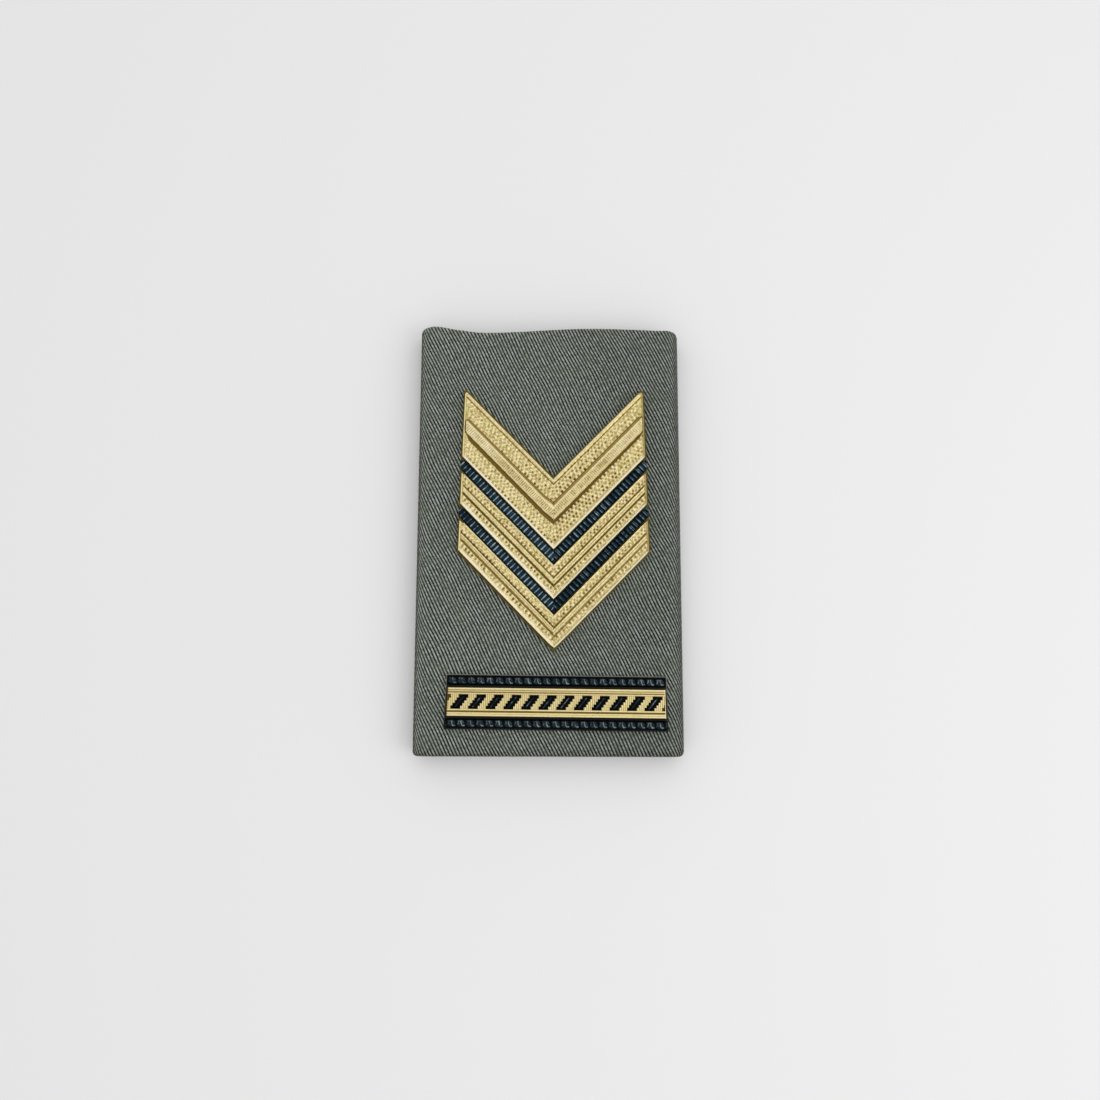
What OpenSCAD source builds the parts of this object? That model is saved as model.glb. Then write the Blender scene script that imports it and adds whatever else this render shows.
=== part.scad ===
// Rank slide: a flat cloth tube that is pushed over a shoulder strap. Its front
// carries a struck gilt badge of three nested chevrons and, below it, a gilt bar.
// The slide lies on its back: the front faces +Z, the collar end is towards +Y,
// and the origin is on the resting face under the middle of the slide.

/* [Sleeve] */
// Width of the flat cloth tube
slide_w = 60.8; // [54:0.1:66]
// Length of the tube from hem to hem, at the middle of the front
slide_l = 98.3; // [92:0.1:106]
// Thickness of the tube, from the resting face to the front cloth
slide_t = 6.8; // [6.6:0.1:8]
// Thickness of the cloth wall
wall = 1.2; // [1:0.1:1.3]
// How much shorter the back panel is than the front one, at each end
back_short = 0.8; // [0:0.1:2]
// Height of the soft roll along the left side of the front
roll_h = 0.45; // [0:0.05:0.8]

/* [Chevron badge] */
// Angle of the chevron arms above the crosswise direction
arm_angle = 45.7; // [44:0.1:48]
// Half width of the badge at its upper tips
tip_half_w = 20.6; // [19:0.1:21]
// How much each side flares for every millimetre towards the point
side_flare = 0.0285; // [0:0.0005:0.04]
// Width of the top chevron, square across the arm
wide_band = 11.53; // [11.5:0.01:12]
// Width of each lower chevron, square across the arm
narrow_band = 5.55; // [5.5:0.05:5.8]
// Width of the black channel between two chevrons
channel_w = 2.34; // [2.2:0.01:2.6]

/* [Bar badge] */
// Length of the bar
bar_l = 48.4; // [47:0.1:50]
// Small turn of the bar on the cloth, clockwise
bar_turn = 0.58; // [0:0.01:1]
// Number of whole black slashes in the bar
slash_count = 12; // [10:1:12]
// Distance from one slash to the next
slash_pitch = 3.893; // [3.8:0.001:3.95]
// Height of a slash
slash_h = 2.98; // [2.8:0.01:3.05]
// Width of a slash along the bar
slash_w = 2; // [1.8:0.05:2.1]
// How far a slash leans over its height
slash_lean = 2.3; // [1.4:0.05:2.4]

/* [Fixing] */
// Gap between a badge and the cloth, and under each inlay
seat_gap = 0.05; // [0.03:0.01:0.1]
// Diameter of the hidden posts on the backs of the badges
post_d = 1.6; // [1.2:0.1:2]
// Diameter of the flat head of a post, inside the tube
head_d = 4; // [3:0.1:5]

/* [Hidden] */
$fn = 48;

gilt = [0.82, 0.72, 0.44];
jet = [0.08, 0.1, 0.13];
cloth_grey = [0.4, 0.43, 0.38];

// Heights are measured from the back of a badge.
base_t = 0.6;
relief_from = 0.4;
shoulder_h = 0.9;
badge_z = slide_t + seat_gap;

// Sleeve: a grid of points, closed both round the tube and over its two hems.
fold_r = slide_t / 2;
panel_half = slide_w / 2 - fold_r;
front_steps = 30;
back_steps = 10;
fold_steps = 10;
length_steps = 8;
lip_steps = 4;
roll_x = -26.66;
roll_spread = 1.9;
left_corner_r = 0.5;
right_corner_r = 0.8;
corner_share = 0.98;
hem_peak = 1.09;
// Keeps the origin under the middle of the whole slide, raised hem corner included
frame_shift = -hem_peak / 2;

// Front hem at the collar end. Columns: place across the slide, how far the hem
// stands beyond the nominal end.
hem_rows = [[-30.4, 0.95], [-27.5, 1.1], [-15, -0.35], [10, 0.7], [27.5, 0.33], [30.4, 0.1]];

// How strongly the left roll stands up. Columns: share of the length from the
// lower hem, share of roll_h.
roll_rows = [[0, 0.75], [0.5, 0.7], [0.85, 1], [1, 1.15]];

function ease(t) = t * t * (3 - 2 * t);
function clamp(t) = min(1, max(0, t));
function table(rows, x, i = 0) =
    x <= rows[0][0] ? rows[0][1]
    : i >= len(rows) - 1 ? rows[len(rows) - 1][1]
    : x <= rows[i + 1][0]
        ? rows[i][1] + (rows[i + 1][1] - rows[i][1]) * ease((x - rows[i][0]) / (rows[i + 1][0] - rows[i][0]))
    : table(rows, x, i + 1);

// Place round the tube: [centre of the wall arc, direction outwards], going
// along the back, up the right fold, over the front and down the left fold.
ring_count = front_steps + back_steps + 2 * fold_steps;
function ring_place(i) =
    i < back_steps
        ? [[-panel_half + 2 * panel_half * i / back_steps, fold_r], -90]
    : i < back_steps + fold_steps
        ? [[panel_half, fold_r], -90 + 180 * (i - back_steps) / fold_steps]
    : i < back_steps + fold_steps + front_steps
        ? [[panel_half - 2 * panel_half * (i - back_steps - fold_steps) / front_steps, fold_r], 90]
    : [[-panel_half, fold_r], 90 + 180 * (i - back_steps - fold_steps - front_steps) / fold_steps];

// Section through the wall from the lower hem: up the outside, over the upper
// lip, down the inside and round the lower lip. Each row: [depth into the cloth,
// share of the length, how far the lip stands in from the hem line].
lip_r = wall / 2;
lip_turns = [for (k = [1:lip_steps - 1]) 180 * k / lip_steps];
section = concat(
    [for (j = [0:length_steps]) [0, j / length_steps, lip_r]],
    [for (a = lip_turns) [lip_r * (1 - cos(a)), 1, lip_r * (1 - sin(a))]],
    [for (j = [length_steps:-1:0]) [wall, j / length_steps, lip_r]],
    [for (a = lip_turns) [lip_r * (1 + cos(a)), 0, lip_r * (1 - sin(a))]]
);

function corner_drop(x) =
    let (r = x < 0 ? left_corner_r : right_corner_r)
    let (t = clamp((abs(x) - (slide_w / 2 - r)) / r))
    r * (1 - sqrt(1 - t * t * corner_share));

function roll_lift(x, share) =
    roll_h * table(roll_rows, share) * exp(-pow((x - roll_x) / roll_spread, 2));

function sleeve_point(place, row) =
    let (r = fold_r - row[0])
    let (x = place[0][0] + r * cos(place[1]))
    let (z0 = place[0][1] + r * sin(place[1]))
    let (x_out = place[0][0] + fold_r * cos(place[1]))
    let (height = clamp((fold_r + fold_r * sin(place[1])) / slide_t))
    let (trim = corner_drop(x_out) + back_short * (1 - clamp(2 * height)))
    let (y_low = -slide_l / 2 + trim)
    let (y_high = slide_l / 2 + table(hem_rows, x_out) - trim)
    let (y = y_low + row[2] + (y_high - y_low - 2 * row[2]) * row[1])
    [x, y + frame_shift, z0 + roll_lift(x_out, row[1]) * clamp(2 * height - 1)];

row_count = len(section);
sleeve_points = [
    for (j = [0:row_count - 1]) for (i = [0:ring_count - 1]) sleeve_point(ring_place(i), section[j])
];
function grid_at(i, j) = (j % row_count) * ring_count + i % ring_count;
sleeve_faces = [
    for (j = [0:row_count - 1]) for (i = [0:ring_count - 1]) each [
        [grid_at(i, j), grid_at(i, j + 1), grid_at(i + 1, j + 1)],
        [grid_at(i, j), grid_at(i + 1, j + 1), grid_at(i + 1, j)]
    ]
];

// Posts: a shank through the cloth and a flat head let into its inner face.
head_t = 0.4;
head_clear = 0.1;
head_below = wall + seat_gap - head_clear;
shank_room = 0.15;
head_room = 0.1;
room_start = 1;

// Chevron badge. Its own frame has the notch of the top chevron at the origin.
notch_at = [1.08, 13.34];
arm_slope = tan(arm_angle);
tip_y = 20.35;
base_margin = 0.3;
side_rim = 0.5;
side_rim_h = 1.55;
tip_r = 0.55;
corner_r = 0.2;
point_r = 1;
base_point_r = 0.5;
arm_reach = 32;
blank_h = 4;
rim_slope = 0.1;
outline_slack = 1;
outline_trim = 0.01;
nose_steps = 3;
corner_steps = 4;
band_clear = 0.25;
band_floor = base_t + seat_gap;
band_overhang = 0.2;
band_valley_h = 1.15;
band_rib_h = 1.42;
band_rib_pitch = 1.15;
band_rib_top = 0.35;
band_rib_foot = 0.8;

// Relief across a chevron. Columns: distance from its upper edge, height.
wide_relief = [
    [0, shoulder_h], [0.1, 1.6], [0.5, 1.6], [0.65, 1.35], [0.8, 1.5], [3.7, 1.5],
    [3.9, 1.1], [4.25, 1.1], [4.4, 1.7], [4.9, 1.9], [6.3, 1.9], [6.8, 1.7], [6.95, 1.1], [7.25, 1.1],
    [7.45, 1.5], [11.05, 1.5], [11.15, 1.6], [11.43, 1.6], [wide_band, shoulder_h]
];
narrow_relief = [
    [0, shoulder_h], [0.1, 1.6], [0.4, 1.6], [0.5, 1.5], [1.95, 1.5],
    [2.05, 1.15], [2.2, 1.15], [2.35, 1.68], [2.75, 1.68], [2.85, 1.6], [2.95, 1.68], [3.3, 1.68],
    [3.45, 1.1], [3.65, 1.1], [3.8, 1.5], [5.15, 1.5], [5.25, 1.6], [5.45, 1.6], [narrow_band, shoulder_h]
];

// Upper edges of the three chevrons, measured square across the arm.
band_starts = [0, wide_band + channel_w, wide_band + narrow_band + 2 * channel_w];
badge_depth = wide_band + 2 * narrow_band + 2 * channel_w;
post_places = [[0, -20], [13.2, -3.5], [-13.2, -3.5]];

// Straight half width of the badge at a height y, and where the line at a
// distance v across the arm meets the side.
function half_width(y) = tip_half_w - side_flare * (y - tip_y);
function vertex_y(v) = -v / cos(arm_angle);
function side_x(v, grow) =
    (tip_half_w + grow - side_flare * (vertex_y(v) - tip_y)) / (1 + side_flare * arm_slope);
function on_line(v, x) = [x, vertex_y(v) + x * arm_slope];

// Arc that rounds a corner. corner is the sharp point, a and b are the points
// before and after it.
function unit(d) = d / norm(d);
function round_corner(a, corner, b, r) =
    let (da = unit(a - corner), db = unit(b - corner))
    let (half = acos(da * db) / 2)
    let (centre = corner + unit(da + db) * r / sin(half))
    let (from = corner + da * r / tan(half) - centre)
    let (to = corner + db * r / tan(half) - centre)
    [for (k = [0:corner_steps]) centre + unit(from + (to - from) * k / corner_steps) * r];

// Outline of the right half of the badge between two distances across the arm.
// The upper tip is rounded with tip, and the point on the centre line with nose.
function half_outline(v0, v1, grow, tip, nose = 0) =
    let (notch = on_line(v0, 0), point = on_line(v1, 0))
    let (high = on_line(v0, side_x(v0, grow)), low = on_line(v1, side_x(v1, grow)))
    let (nose_y = point[1] + nose / cos(arm_angle))
    concat(
        [notch], round_corner(notch, high, low, tip), [low],
        nose == 0 ? [point]
        : [
            for (k = [0:nose_steps])
                let (a = arm_angle - 90 - arm_angle * k / nose_steps)
                [nose * cos(a), nose_y + nose * sin(a)]
        ]
    );

module arm_frame() {
    rotate([0, 0, arm_angle]) children();
}

// A relief profile, drawn outwards from the line v = 0, run along the right arm
module along_arm(profile) {
    arm_frame()
        translate([-arm_reach, 0, 0])
            rotate([90, 0, 90])
                linear_extrude(height = 2 * arm_reach)
                    polygon([for (p = profile) [-p[0], p[1]]]);
}

// Everything on the right half that lies inside, or outside, a line that runs
// a set distance in from the side of the badge
module inside_side(inset) {
    linear_extrude(height = blank_h)
        polygon([
            [0, -arm_reach * 2], [half_width(-arm_reach * 2) - inset, -arm_reach * 2],
            [half_width(arm_reach) - inset, arm_reach], [0, arm_reach]
        ]);
}

module outside_side(inset) {
    linear_extrude(height = blank_h)
        polygon([
            [half_width(-arm_reach * 2) - inset, -arm_reach * 2], [arm_reach * 2, -arm_reach * 2],
            [arm_reach * 2, arm_reach], [half_width(arm_reach) - inset, arm_reach]
        ]);
}

module post(place) {
    translate([place[0], place[1], -head_below]) {
        cylinder(d = post_d, h = head_below + relief_from);
        cylinder(d = head_d, h = head_t);
    }
}

// The room that a post needs in the cloth, cut from just inside the front wall
module post_room(place) {
    head_top = badge_z - head_below + head_t + head_room;
    translate([place[0], place[1], slide_t - wall - room_start]) {
        cylinder(d = post_d + 2 * shank_room, h = 2 * (wall + room_start));
        cylinder(d = head_d + 2 * head_room, h = head_top - slide_t + wall + room_start);
    }
}

module sleeve() {
    color(cloth_grey)
        difference() {
            polyhedron(points = sleeve_points, faces = sleeve_faces, convexity = 6);
            on_chevron_place(0)
                for (p = post_places) post_room(p);
            on_bar_place(0)
                for (p = bar_post_places) post_room(p);
        }
}

module on_chevron_place(z) {
    translate([notch_at[0], notch_at[1] + frame_shift, z]) children();
}

// One chevron's relief on the right arm, from a thickness inside the base up,
// with the plain rim that closes it at the side
module chevron_arm(start, relief, width, tip, nose) {
    foot = [[start, relief_from], [start + width, relief_from]];
    across = concat([foot[0]], [for (p = relief) [start + p[0], p[1]]], [foot[1]]);
    rim = [
        foot[0], [start, shoulder_h], [start + rim_slope, side_rim_h],
        [start + width - rim_slope, side_rim_h], [start + width, shoulder_h], foot[1]
    ];
    intersection() {
        union() {
            intersection() {
                along_arm(across);
                inside_side(side_rim);
            }
            intersection() {
                along_arm(rim);
                outside_side(side_rim);
            }
        }
        linear_extrude(height = blank_h)
            polygon(half_outline(
                start - outline_trim, start + width + (nose > 0 ? outline_trim : outline_slack), 0, tip, nose
            ));
    }
}

module chevron_half() {
    chevron_arm(band_starts[0], wide_relief, wide_band, tip_r, 0);
    chevron_arm(band_starts[1], narrow_relief, narrow_band, corner_r, 0);
    chevron_arm(band_starts[2], narrow_relief, narrow_band, corner_r, point_r);
}

module chevron_badge() {
    right = half_outline(-base_margin, badge_depth + base_margin, base_margin, tip_r, base_point_r);
    color(gilt)
        on_chevron_place(badge_z)
            union() {
                linear_extrude(height = base_t)
                    polygon(concat(right, [for (k = [len(right) - 1:-1:0]) [-right[k][0], right[k][1]]]));
                chevron_half();
                mirror([1, 0, 0]) chevron_half();
                for (p = post_places) post(p);
            }
}

// Ribbed black band that fills one channel
module chevron_band(start) {
    ribs = ceil(arm_reach / band_rib_pitch);
    rib = [
        [-band_rib_foot / 2, band_valley_h], [-band_rib_top / 2, band_rib_h],
        [band_rib_top / 2, band_rib_h], [band_rib_foot / 2, band_valley_h]
    ];
    top = [for (k = [-ribs:ribs]) each [for (p = rib) [k * band_rib_pitch + p[0], p[1]]]];
    first = top[0][0];
    last = top[len(top) - 1][0];
    on_chevron_place(badge_z)
        for (flip = [0, 1]) mirror([flip, 0, 0])
            intersection() {
                arm_frame()
                    translate([0, -start - band_clear, 0])
                        rotate([90, 0, 0])
                            linear_extrude(height = channel_w - 2 * band_clear)
                                polygon(concat([[first, band_floor]], top, [[last, band_floor]]));
                linear_extrude(height = blank_h)
                    polygon(half_outline(
                        start - outline_slack, start + channel_w + outline_slack, band_overhang, corner_r
                    ));
            }
}

module chevron_band_upper() {
    color(jet) chevron_band(band_starts[1] - channel_w);
}

module chevron_band_lower() {
    color(jet) chevron_band(band_starts[2] - channel_w);
}

// Bar badge. Its own frame has the middle of its upper edge at the origin, and
// distances down the bar are given as positive numbers.
bar_at = [1.79, -31.63];
strip_h = 2.1;
strip_gap = 0.5;
gilt_h = 6.28;
gilt_top = strip_h + strip_gap;
bar_h = 2 * (strip_h + strip_gap) + gilt_h;
bar_flare = 0.03;
end_inset = 0.15;
slash_top = 1.64;
slash_steps = 5;
slash_clear = 0.08;
slash_floor = 0.9;
slash_h_z = 1.35;
slash_first_x = -21.34;
bar_post_places = [[-16, -5.6], [16, -5.6]];
strip_floor = base_t + seat_gap;
strip_low_h = 1.0;
strip_mid_h = 1.2;
strip_rib_h = 1.42;
strip_pitch = 2.09;
strip_overhang = 0.1;
strand_run = 0.75;
strand_w = 0.65;
strand_edge = 0.3;

// Relief down the gilt part of the bar. Columns: distance from its upper edge,
// height.
bar_relief = [
    [0, shoulder_h], [0.08, 1.6], [0.42, 1.6], [0.52, 1.35], [0.62, 1.35], [0.7, 1.6], [0.86, 1.6],
    [0.96, 1.3], [1.08, 1.3], [1.18, 1.6], [1.4, 1.6], [1.5, 1.5], [4.65, 1.5], [4.73, 1.6], [5, 1.6],
    [5.1, 1.3], [5.34, 1.3], [5.44, 1.6], [5.72, 1.6], [5.8, 1.5], [5.88, 1.6], [6.2, 1.6],
    [gilt_h, shoulder_h]
];

function bar_outline(y0, y1, grow) =
    let (h0 = bar_l / 2 + grow + bar_flare * y0, h1 = bar_l / 2 + grow + bar_flare * y1)
    [[-h0, -y0], [h0, -y0], [h1, -y1], [-h1, -y1]];

// Stepped outline of a slash round its middle. Each side climbs in equal steps.
function slash_outline(grow) =
    let (rise = slash_h / slash_steps, run = slash_lean / slash_steps)
    let (left = [
        for (k = [0:slash_steps - 1])
            let (x = run * (k - slash_steps / 2 + 0.5) - slash_w / 2 - grow)
            let (low = -slash_h / 2 + rise * k + (k == 0 ? -grow : grow))
            each [[x, low], [x, -slash_h / 2 + rise * (k + 1) + grow]]
    ])
    concat(left, [for (p = left) -p]);

module on_bar_place(z) {
    translate([bar_at[0], bar_at[1] + frame_shift, z])
        rotate([0, 0, -bar_turn])
            children();
}

module bar_run(profile, length) {
    translate([-length / 2, 0, 0])
        rotate([90, 0, 90])
            linear_extrude(height = length)
                polygon([for (p = profile) [-p[0], p[1]]]);
}

module slash_place(k) {
    translate([slash_first_x + (k - 1) * slash_pitch, -(gilt_top + slash_top + slash_h / 2), 0]) children();
}

module bar_badge() {
    profile = [
        [gilt_top, relief_from],
        for (p = bar_relief) [gilt_top + p[0], p[1]],
        [gilt_top + gilt_h, relief_from]
    ];
    color(gilt)
        on_bar_place(badge_z)
            union() {
                linear_extrude(height = base_t)
                    polygon(bar_outline(-base_margin, bar_h + base_margin, base_margin));
                difference() {
                    intersection() {
                        bar_run(profile, 2 * bar_l);
                        linear_extrude(height = blank_h)
                            polygon(bar_outline(
                                gilt_top - outline_slack, gilt_top + gilt_h + outline_slack, -end_inset
                            ));
                    }
                    for (k = [0:slash_count + 1])
                        slash_place(k)
                            translate([0, 0, slash_floor])
                                linear_extrude(height = blank_h)
                                    polygon(slash_outline(slash_clear));
                }
                for (p = bar_post_places) post(p);
            }
}

module bar_slash(k) {
    color(jet)
        on_bar_place(badge_z + slash_floor + seat_gap)
            slash_place(k)
                linear_extrude(height = slash_h_z - slash_floor - seat_gap)
                    polygon(slash_outline(0));
}

// Black strip with one sloping strand for every turn of its twist
module bar_strip(y0) {
    strands = floor(bar_l / strip_pitch);
    first_x = -(strands - 1) * strip_pitch / 2;
    color(jet)
        on_bar_place(badge_z)
            intersection() {
                union() {
                    translate([-bar_l, -y0 - strip_h, strip_floor])
                        cube([2 * bar_l, strip_h, strip_mid_h - strip_floor]);
                    for (k = [0:strands - 1])
                        translate([first_x + k * strip_pitch, -y0, strip_low_h])
                            linear_extrude(height = strip_rib_h - strip_low_h)
                                polygon([
                                    [-strand_run, strand_edge - strip_h],
                                    [strand_w - strand_run, strand_edge - strip_h],
                                    [strand_run, -strand_edge],
                                    [strand_run - strand_w, -strand_edge]
                                ]);
                }
                linear_extrude(height = blank_h)
                    polygon(bar_outline(y0, y0 + strip_h, strip_overhang));
            }
}

module bar_strip_upper() {
    bar_strip(0);
}

module bar_strip_lower() {
    bar_strip(gilt_top + gilt_h + strip_gap);
}

sleeve();
chevron_badge();
chevron_band_upper();
chevron_band_lower();
bar_badge();
bar_strip_upper();
bar_strip_lower();
for (k = [1:slash_count]) bar_slash(k);
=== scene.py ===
"""Dresses a rank slide: a twill tube, a struck gilt chevron badge and a gilt bar.

Lengths in the classes are millimetres in the slide's own frame: +X to the right,
+Y towards the collar end and +Z out of the front. Meshes are made in metres.
"""

import logging
import math
from dataclasses import dataclass
from enum import Enum
from typing import Any

import bpy
import numpy as np
from bpy.types import ID, Material, Node, NodeSocket, NodeTree, Object
from mathutils import Matrix, Vector


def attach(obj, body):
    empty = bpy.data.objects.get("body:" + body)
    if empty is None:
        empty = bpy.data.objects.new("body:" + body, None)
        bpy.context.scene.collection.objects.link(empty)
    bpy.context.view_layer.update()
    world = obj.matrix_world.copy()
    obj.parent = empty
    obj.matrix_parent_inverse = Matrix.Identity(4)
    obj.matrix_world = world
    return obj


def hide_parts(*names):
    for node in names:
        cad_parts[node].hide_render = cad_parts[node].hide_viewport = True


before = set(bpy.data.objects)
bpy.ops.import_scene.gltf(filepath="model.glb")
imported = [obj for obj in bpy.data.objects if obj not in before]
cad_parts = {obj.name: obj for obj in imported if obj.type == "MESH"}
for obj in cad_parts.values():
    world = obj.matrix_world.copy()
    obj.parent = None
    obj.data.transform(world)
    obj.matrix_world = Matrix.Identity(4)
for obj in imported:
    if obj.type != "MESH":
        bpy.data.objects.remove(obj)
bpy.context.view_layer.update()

MM = 0.001
BODY = "root"
# Middle of the tube along the slide's frame, and height of the badges' backs
CENTRE_Y = -0.545
BADGE_BACK = 6.85

# Node settings that several finishes share. Inputs of these nodes go by number. Maths has its
# values in order. A mix has its share at 0 and its colours at 6 and 7. A mapped range has its
# value at 0, where that starts and ends at 1 and 2, and what it becomes at 3 and 4.
MIX = {"data_type": "RGBA"}
TINT = {"data_type": "RGBA", "blend_type": "MULTIPLY"}
EASED = {"interpolation_type": "SMOOTHSTEP"}
SCALE_AND_ADD = {"operation": "MULTIPLY_ADD"}

log = logging.getLogger("rank_slide")

# Short names for types: an array of numbers, and a table of sizes with one tuple for each row
Array = np.ndarray
Table = tuple[tuple[float, ...], ...]


class Slot(Enum):
    """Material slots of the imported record."""

    CLOTH = "cloth"
    GILT = "gilt_metal"
    BLACK = "black_enamel"


class Place(Enum):
    """The three gilt chevrons, from the collar end down."""

    TOP = "top"
    MIDDLE = "middle"
    LOWER = "lower"


class Arm(Enum):
    """The two arms of the V, each with the sign of its side."""

    LEFT = -1
    RIGHT = 1


def linear(code: str) -> tuple[float, float, float, float]:
    """Turns an sRGB hex colour into linear RGBA.

    Args:
        code: Six hex digits, with or without a leading hash.

    Returns:
        The linear colour with an alpha of one.
    """
    digits = code.lstrip("#")
    channels = [int(digits[i : i + 2], 16) / 255 for i in (0, 2, 4)]
    made = [c / 12.92 if c <= 0.04045 else ((c + 0.055) / 1.055) ** 2.4 for c in channels]
    return made[0], made[1], made[2], 1.0


def add_node(
    tree: NodeTree,
    kind: str,
    settings: dict[str, Any] | None = None,
    inputs: dict[int | str, Any] | None = None,
) -> Node:
    """Adds a node with its settings and links.

    Args:
        tree: The node tree that gets the node.
        kind: The node's type name.
        settings: Properties of the node, by name.
        inputs: What each input gets, by name or number: a constant or a socket.

    Returns:
        The new node.
    """
    node = tree.nodes.new(kind)
    for name, value in (settings or {}).items():
        setattr(node, name, value)
    for name, value in (inputs or {}).items():
        if isinstance(value, NodeSocket):
            tree.links.new(value, node.inputs[name])
        else:
            node.inputs[name].default_value = value
    return node


def new_material(name: str) -> tuple[Material, NodeTree]:
    """Makes a material with an empty node tree.

    Args:
        name: Name of the material.

    Returns:
        The material and its tree.
    """
    material = bpy.data.materials.new(name)
    material.use_nodes = True
    material.node_tree.nodes.clear()
    return material, material.node_tree


def finish_material(tree: NodeTree, inputs: dict[int | str, Any]) -> None:
    """Adds the shader and the output to a material's tree.

    Args:
        tree: The node tree.
        inputs: What the shader's inputs get.
    """
    shader = add_node(tree, "ShaderNodeBsdfPrincipled", None, inputs)
    add_node(tree, "ShaderNodeOutputMaterial", None, {"Surface": shader.outputs[0]})


def smooth_step(low: float, high: float, x: Array) -> Array:
    """Rises smoothly from 0 at low to 1 at high.

    Where a caller gives small bare numbers, they say how softly an edge comes up, in
    millimetres on either side of it.

    Args:
        low: Where the rise starts.
        high: Where it ends.
        x: Places to evaluate.

    Returns:
        Values from 0 to 1.
    """
    t = np.clip((x - low) / (high - low), 0, 1)
    return t * t * (3 - 2 * t)


def bump_at(x: Array, centre: float, spread: float) -> Array:
    """A soft bump of height 1 at a centre, with a given spread."""
    return np.exp(-(((x - centre) / spread) ** 2))


def at_least(least: float, share: Array) -> Array:
    """Squeezes shares from 0 to 1 in between a least value and 1."""
    return least + (1 - least) * share


def scatter(*keys: Array) -> Array:
    """A repeatable irregular value from 0 to 1 for each set of whole numbers.

    Args:
        keys: Arrays of whole numbers.

    Returns:
        One value for each place.
    """
    # Uneven weights and a large factor, which leave no pattern to see
    weights = (12.9898, 78.233, 37.719)
    large = 43758.5453
    total = sum(k * w for k, w in zip(keys, weights))
    return np.mod(np.sin(total) * large, 1.0)


def grid_faces(rows: int, columns: int, close_rows: bool, close_columns: bool) -> Array:
    """Quads of a grid whose points are stored row by row.

    Args:
        rows: Number of rows.
        columns: Number of points in a row.
        close_rows: Whether the last row joins the first.
        close_columns: Whether the last column joins the first.

    Returns:
        Four point numbers for each quad.
    """
    j = np.arange(rows if close_rows else rows - 1)[:, None]
    i = np.arange(columns if close_columns else columns - 1)[None, :]
    after_j = (j + 1) % rows
    after_i = (i + 1) % columns
    corners = [j * columns + i, j * columns + after_i, after_j * columns + after_i, after_j * columns + i]
    return np.stack([np.broadcast_to(c, (j.size, i.size)) for c in corners], axis=-1).reshape(-1, 4)


def new_object(name: str, data: ID) -> Object:
    """Makes an object and links it to the scene.

    Args:
        name: Name of the object.
        data: Its mesh, lamp or camera.

    Returns:
        The new object.
    """
    made = bpy.data.objects.new(name, data)
    bpy.context.scene.collection.objects.link(made)
    return made


def make_piece(
    name: str,
    points: Array,
    faces: list[list[int]],
    material: Material,
    fields: dict[str, Array] | None = None,
    sharp_deg: float = 40.0,
) -> Object:
    """Makes a mesh object, gives it its finish and lets it ride on the slide.

    Args:
        name: Name of the piece.
        points: Points in millimetres.
        faces: Point numbers of each face.
        material: The finish.
        fields: Values for each point that the finish reads, numbers or vectors.
        sharp_deg: Edges that turn more than this stay sharp.

    Returns:
        The new object.
    """
    mesh = bpy.data.meshes.new(name)
    mesh.from_pydata((points * MM).tolist(), [], faces)
    for field_name, values in (fields or {}).items():
        if values.ndim == 1:
            layer = mesh.attributes.new(field_name, "FLOAT", "POINT")
            layer.data.foreach_set("value", values.astype(np.float32))
        else:
            layer = mesh.attributes.new(field_name, "FLOAT_VECTOR", "POINT")
            layer.data.foreach_set("vector", values.astype(np.float32).ravel())
    mesh.materials.append(material)
    mesh.polygons.foreach_set("use_smooth", np.ones(len(mesh.polygons), bool))
    mesh.set_sharp_from_angle(angle=math.radians(sharp_deg))
    mesh.validate()
    piece = new_object(name, mesh)
    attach(piece, BODY)
    log.info("%s: %d faces", name, len(mesh.polygons))
    return piece


def stacked_loops(loops: Array) -> tuple[Array, list[list[int]]]:
    """Joins a stack of loops into a closed solid with a face at either end.

    Args:
        loops: Points of each loop, anticlockwise, from the lowest loop up.

    Returns:
        The points, and the point numbers of each face.
    """
    rows, columns = loops.shape[:2]
    faces = grid_faces(rows, columns, False, True).tolist()
    faces.append(list(range(columns - 1, -1, -1)))
    faces.append(list(range((rows - 1) * columns, rows * columns)))
    return loops.reshape(-1, 3), faces


def post_loops(middle: Array, sides: int = 32) -> Array:
    """A turned post with a flat head, which stands below a badge's back.

    Args:
        middle: Where the post meets the badge's back.
        sides: Number of sides of the post.

    Returns:
        Its loops, from the lowest up.
    """
    # Radius and height of each loop, from the head's underside into the plate
    profile = ((1.9, -1.15), (2.0, -1.1), (2.0, -0.8), (1.9, -0.75), (0.8, -0.75), (0.8, 0.1))
    a = np.arange(sides) * math.tau / sides
    across, up = np.cos(a), np.sin(a)
    return np.stack([middle + np.stack([r * across, r * up, np.full(sides, z)], -1) for r, z in profile])


def make_plate(name: str, loops: Array, painted_highlight: Array, posts: list[Array], brass: Material) -> Object:
    """Makes a badge's back plate with its posts, darkened all over as painted shade except for its painted
    highlights.

    Args:
        name: Name of the piece.
        loops: Points of the plate's outline at each height, from its back up.
        painted_highlight: How bright a painted highlight each of these points gets, from 0 to 1.
        posts: Where the posts meet the plate's back.
        brass: The finish.

    Returns:
        The plate.
    """
    # Painted shade: the plate is darkened wherever it has no painted highlight
    plate_shade = 0.35
    points, faces = stacked_loops(loops)
    for middle in posts:
        post, post_faces = stacked_loops(post_loops(middle))
        faces += [[len(points) + number for number in face] for face in post_faces]
        points = np.concatenate([points, post])
    polish_and_highlight = np.concatenate([painted_highlight, np.zeros(len(points) - painted_highlight.size)])
    fields = {"cavity": plate_shade * (1 - polish_and_highlight), "polish_and_highlight": polish_and_highlight}
    return make_piece(name, points, faces, brass, fields)


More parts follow.
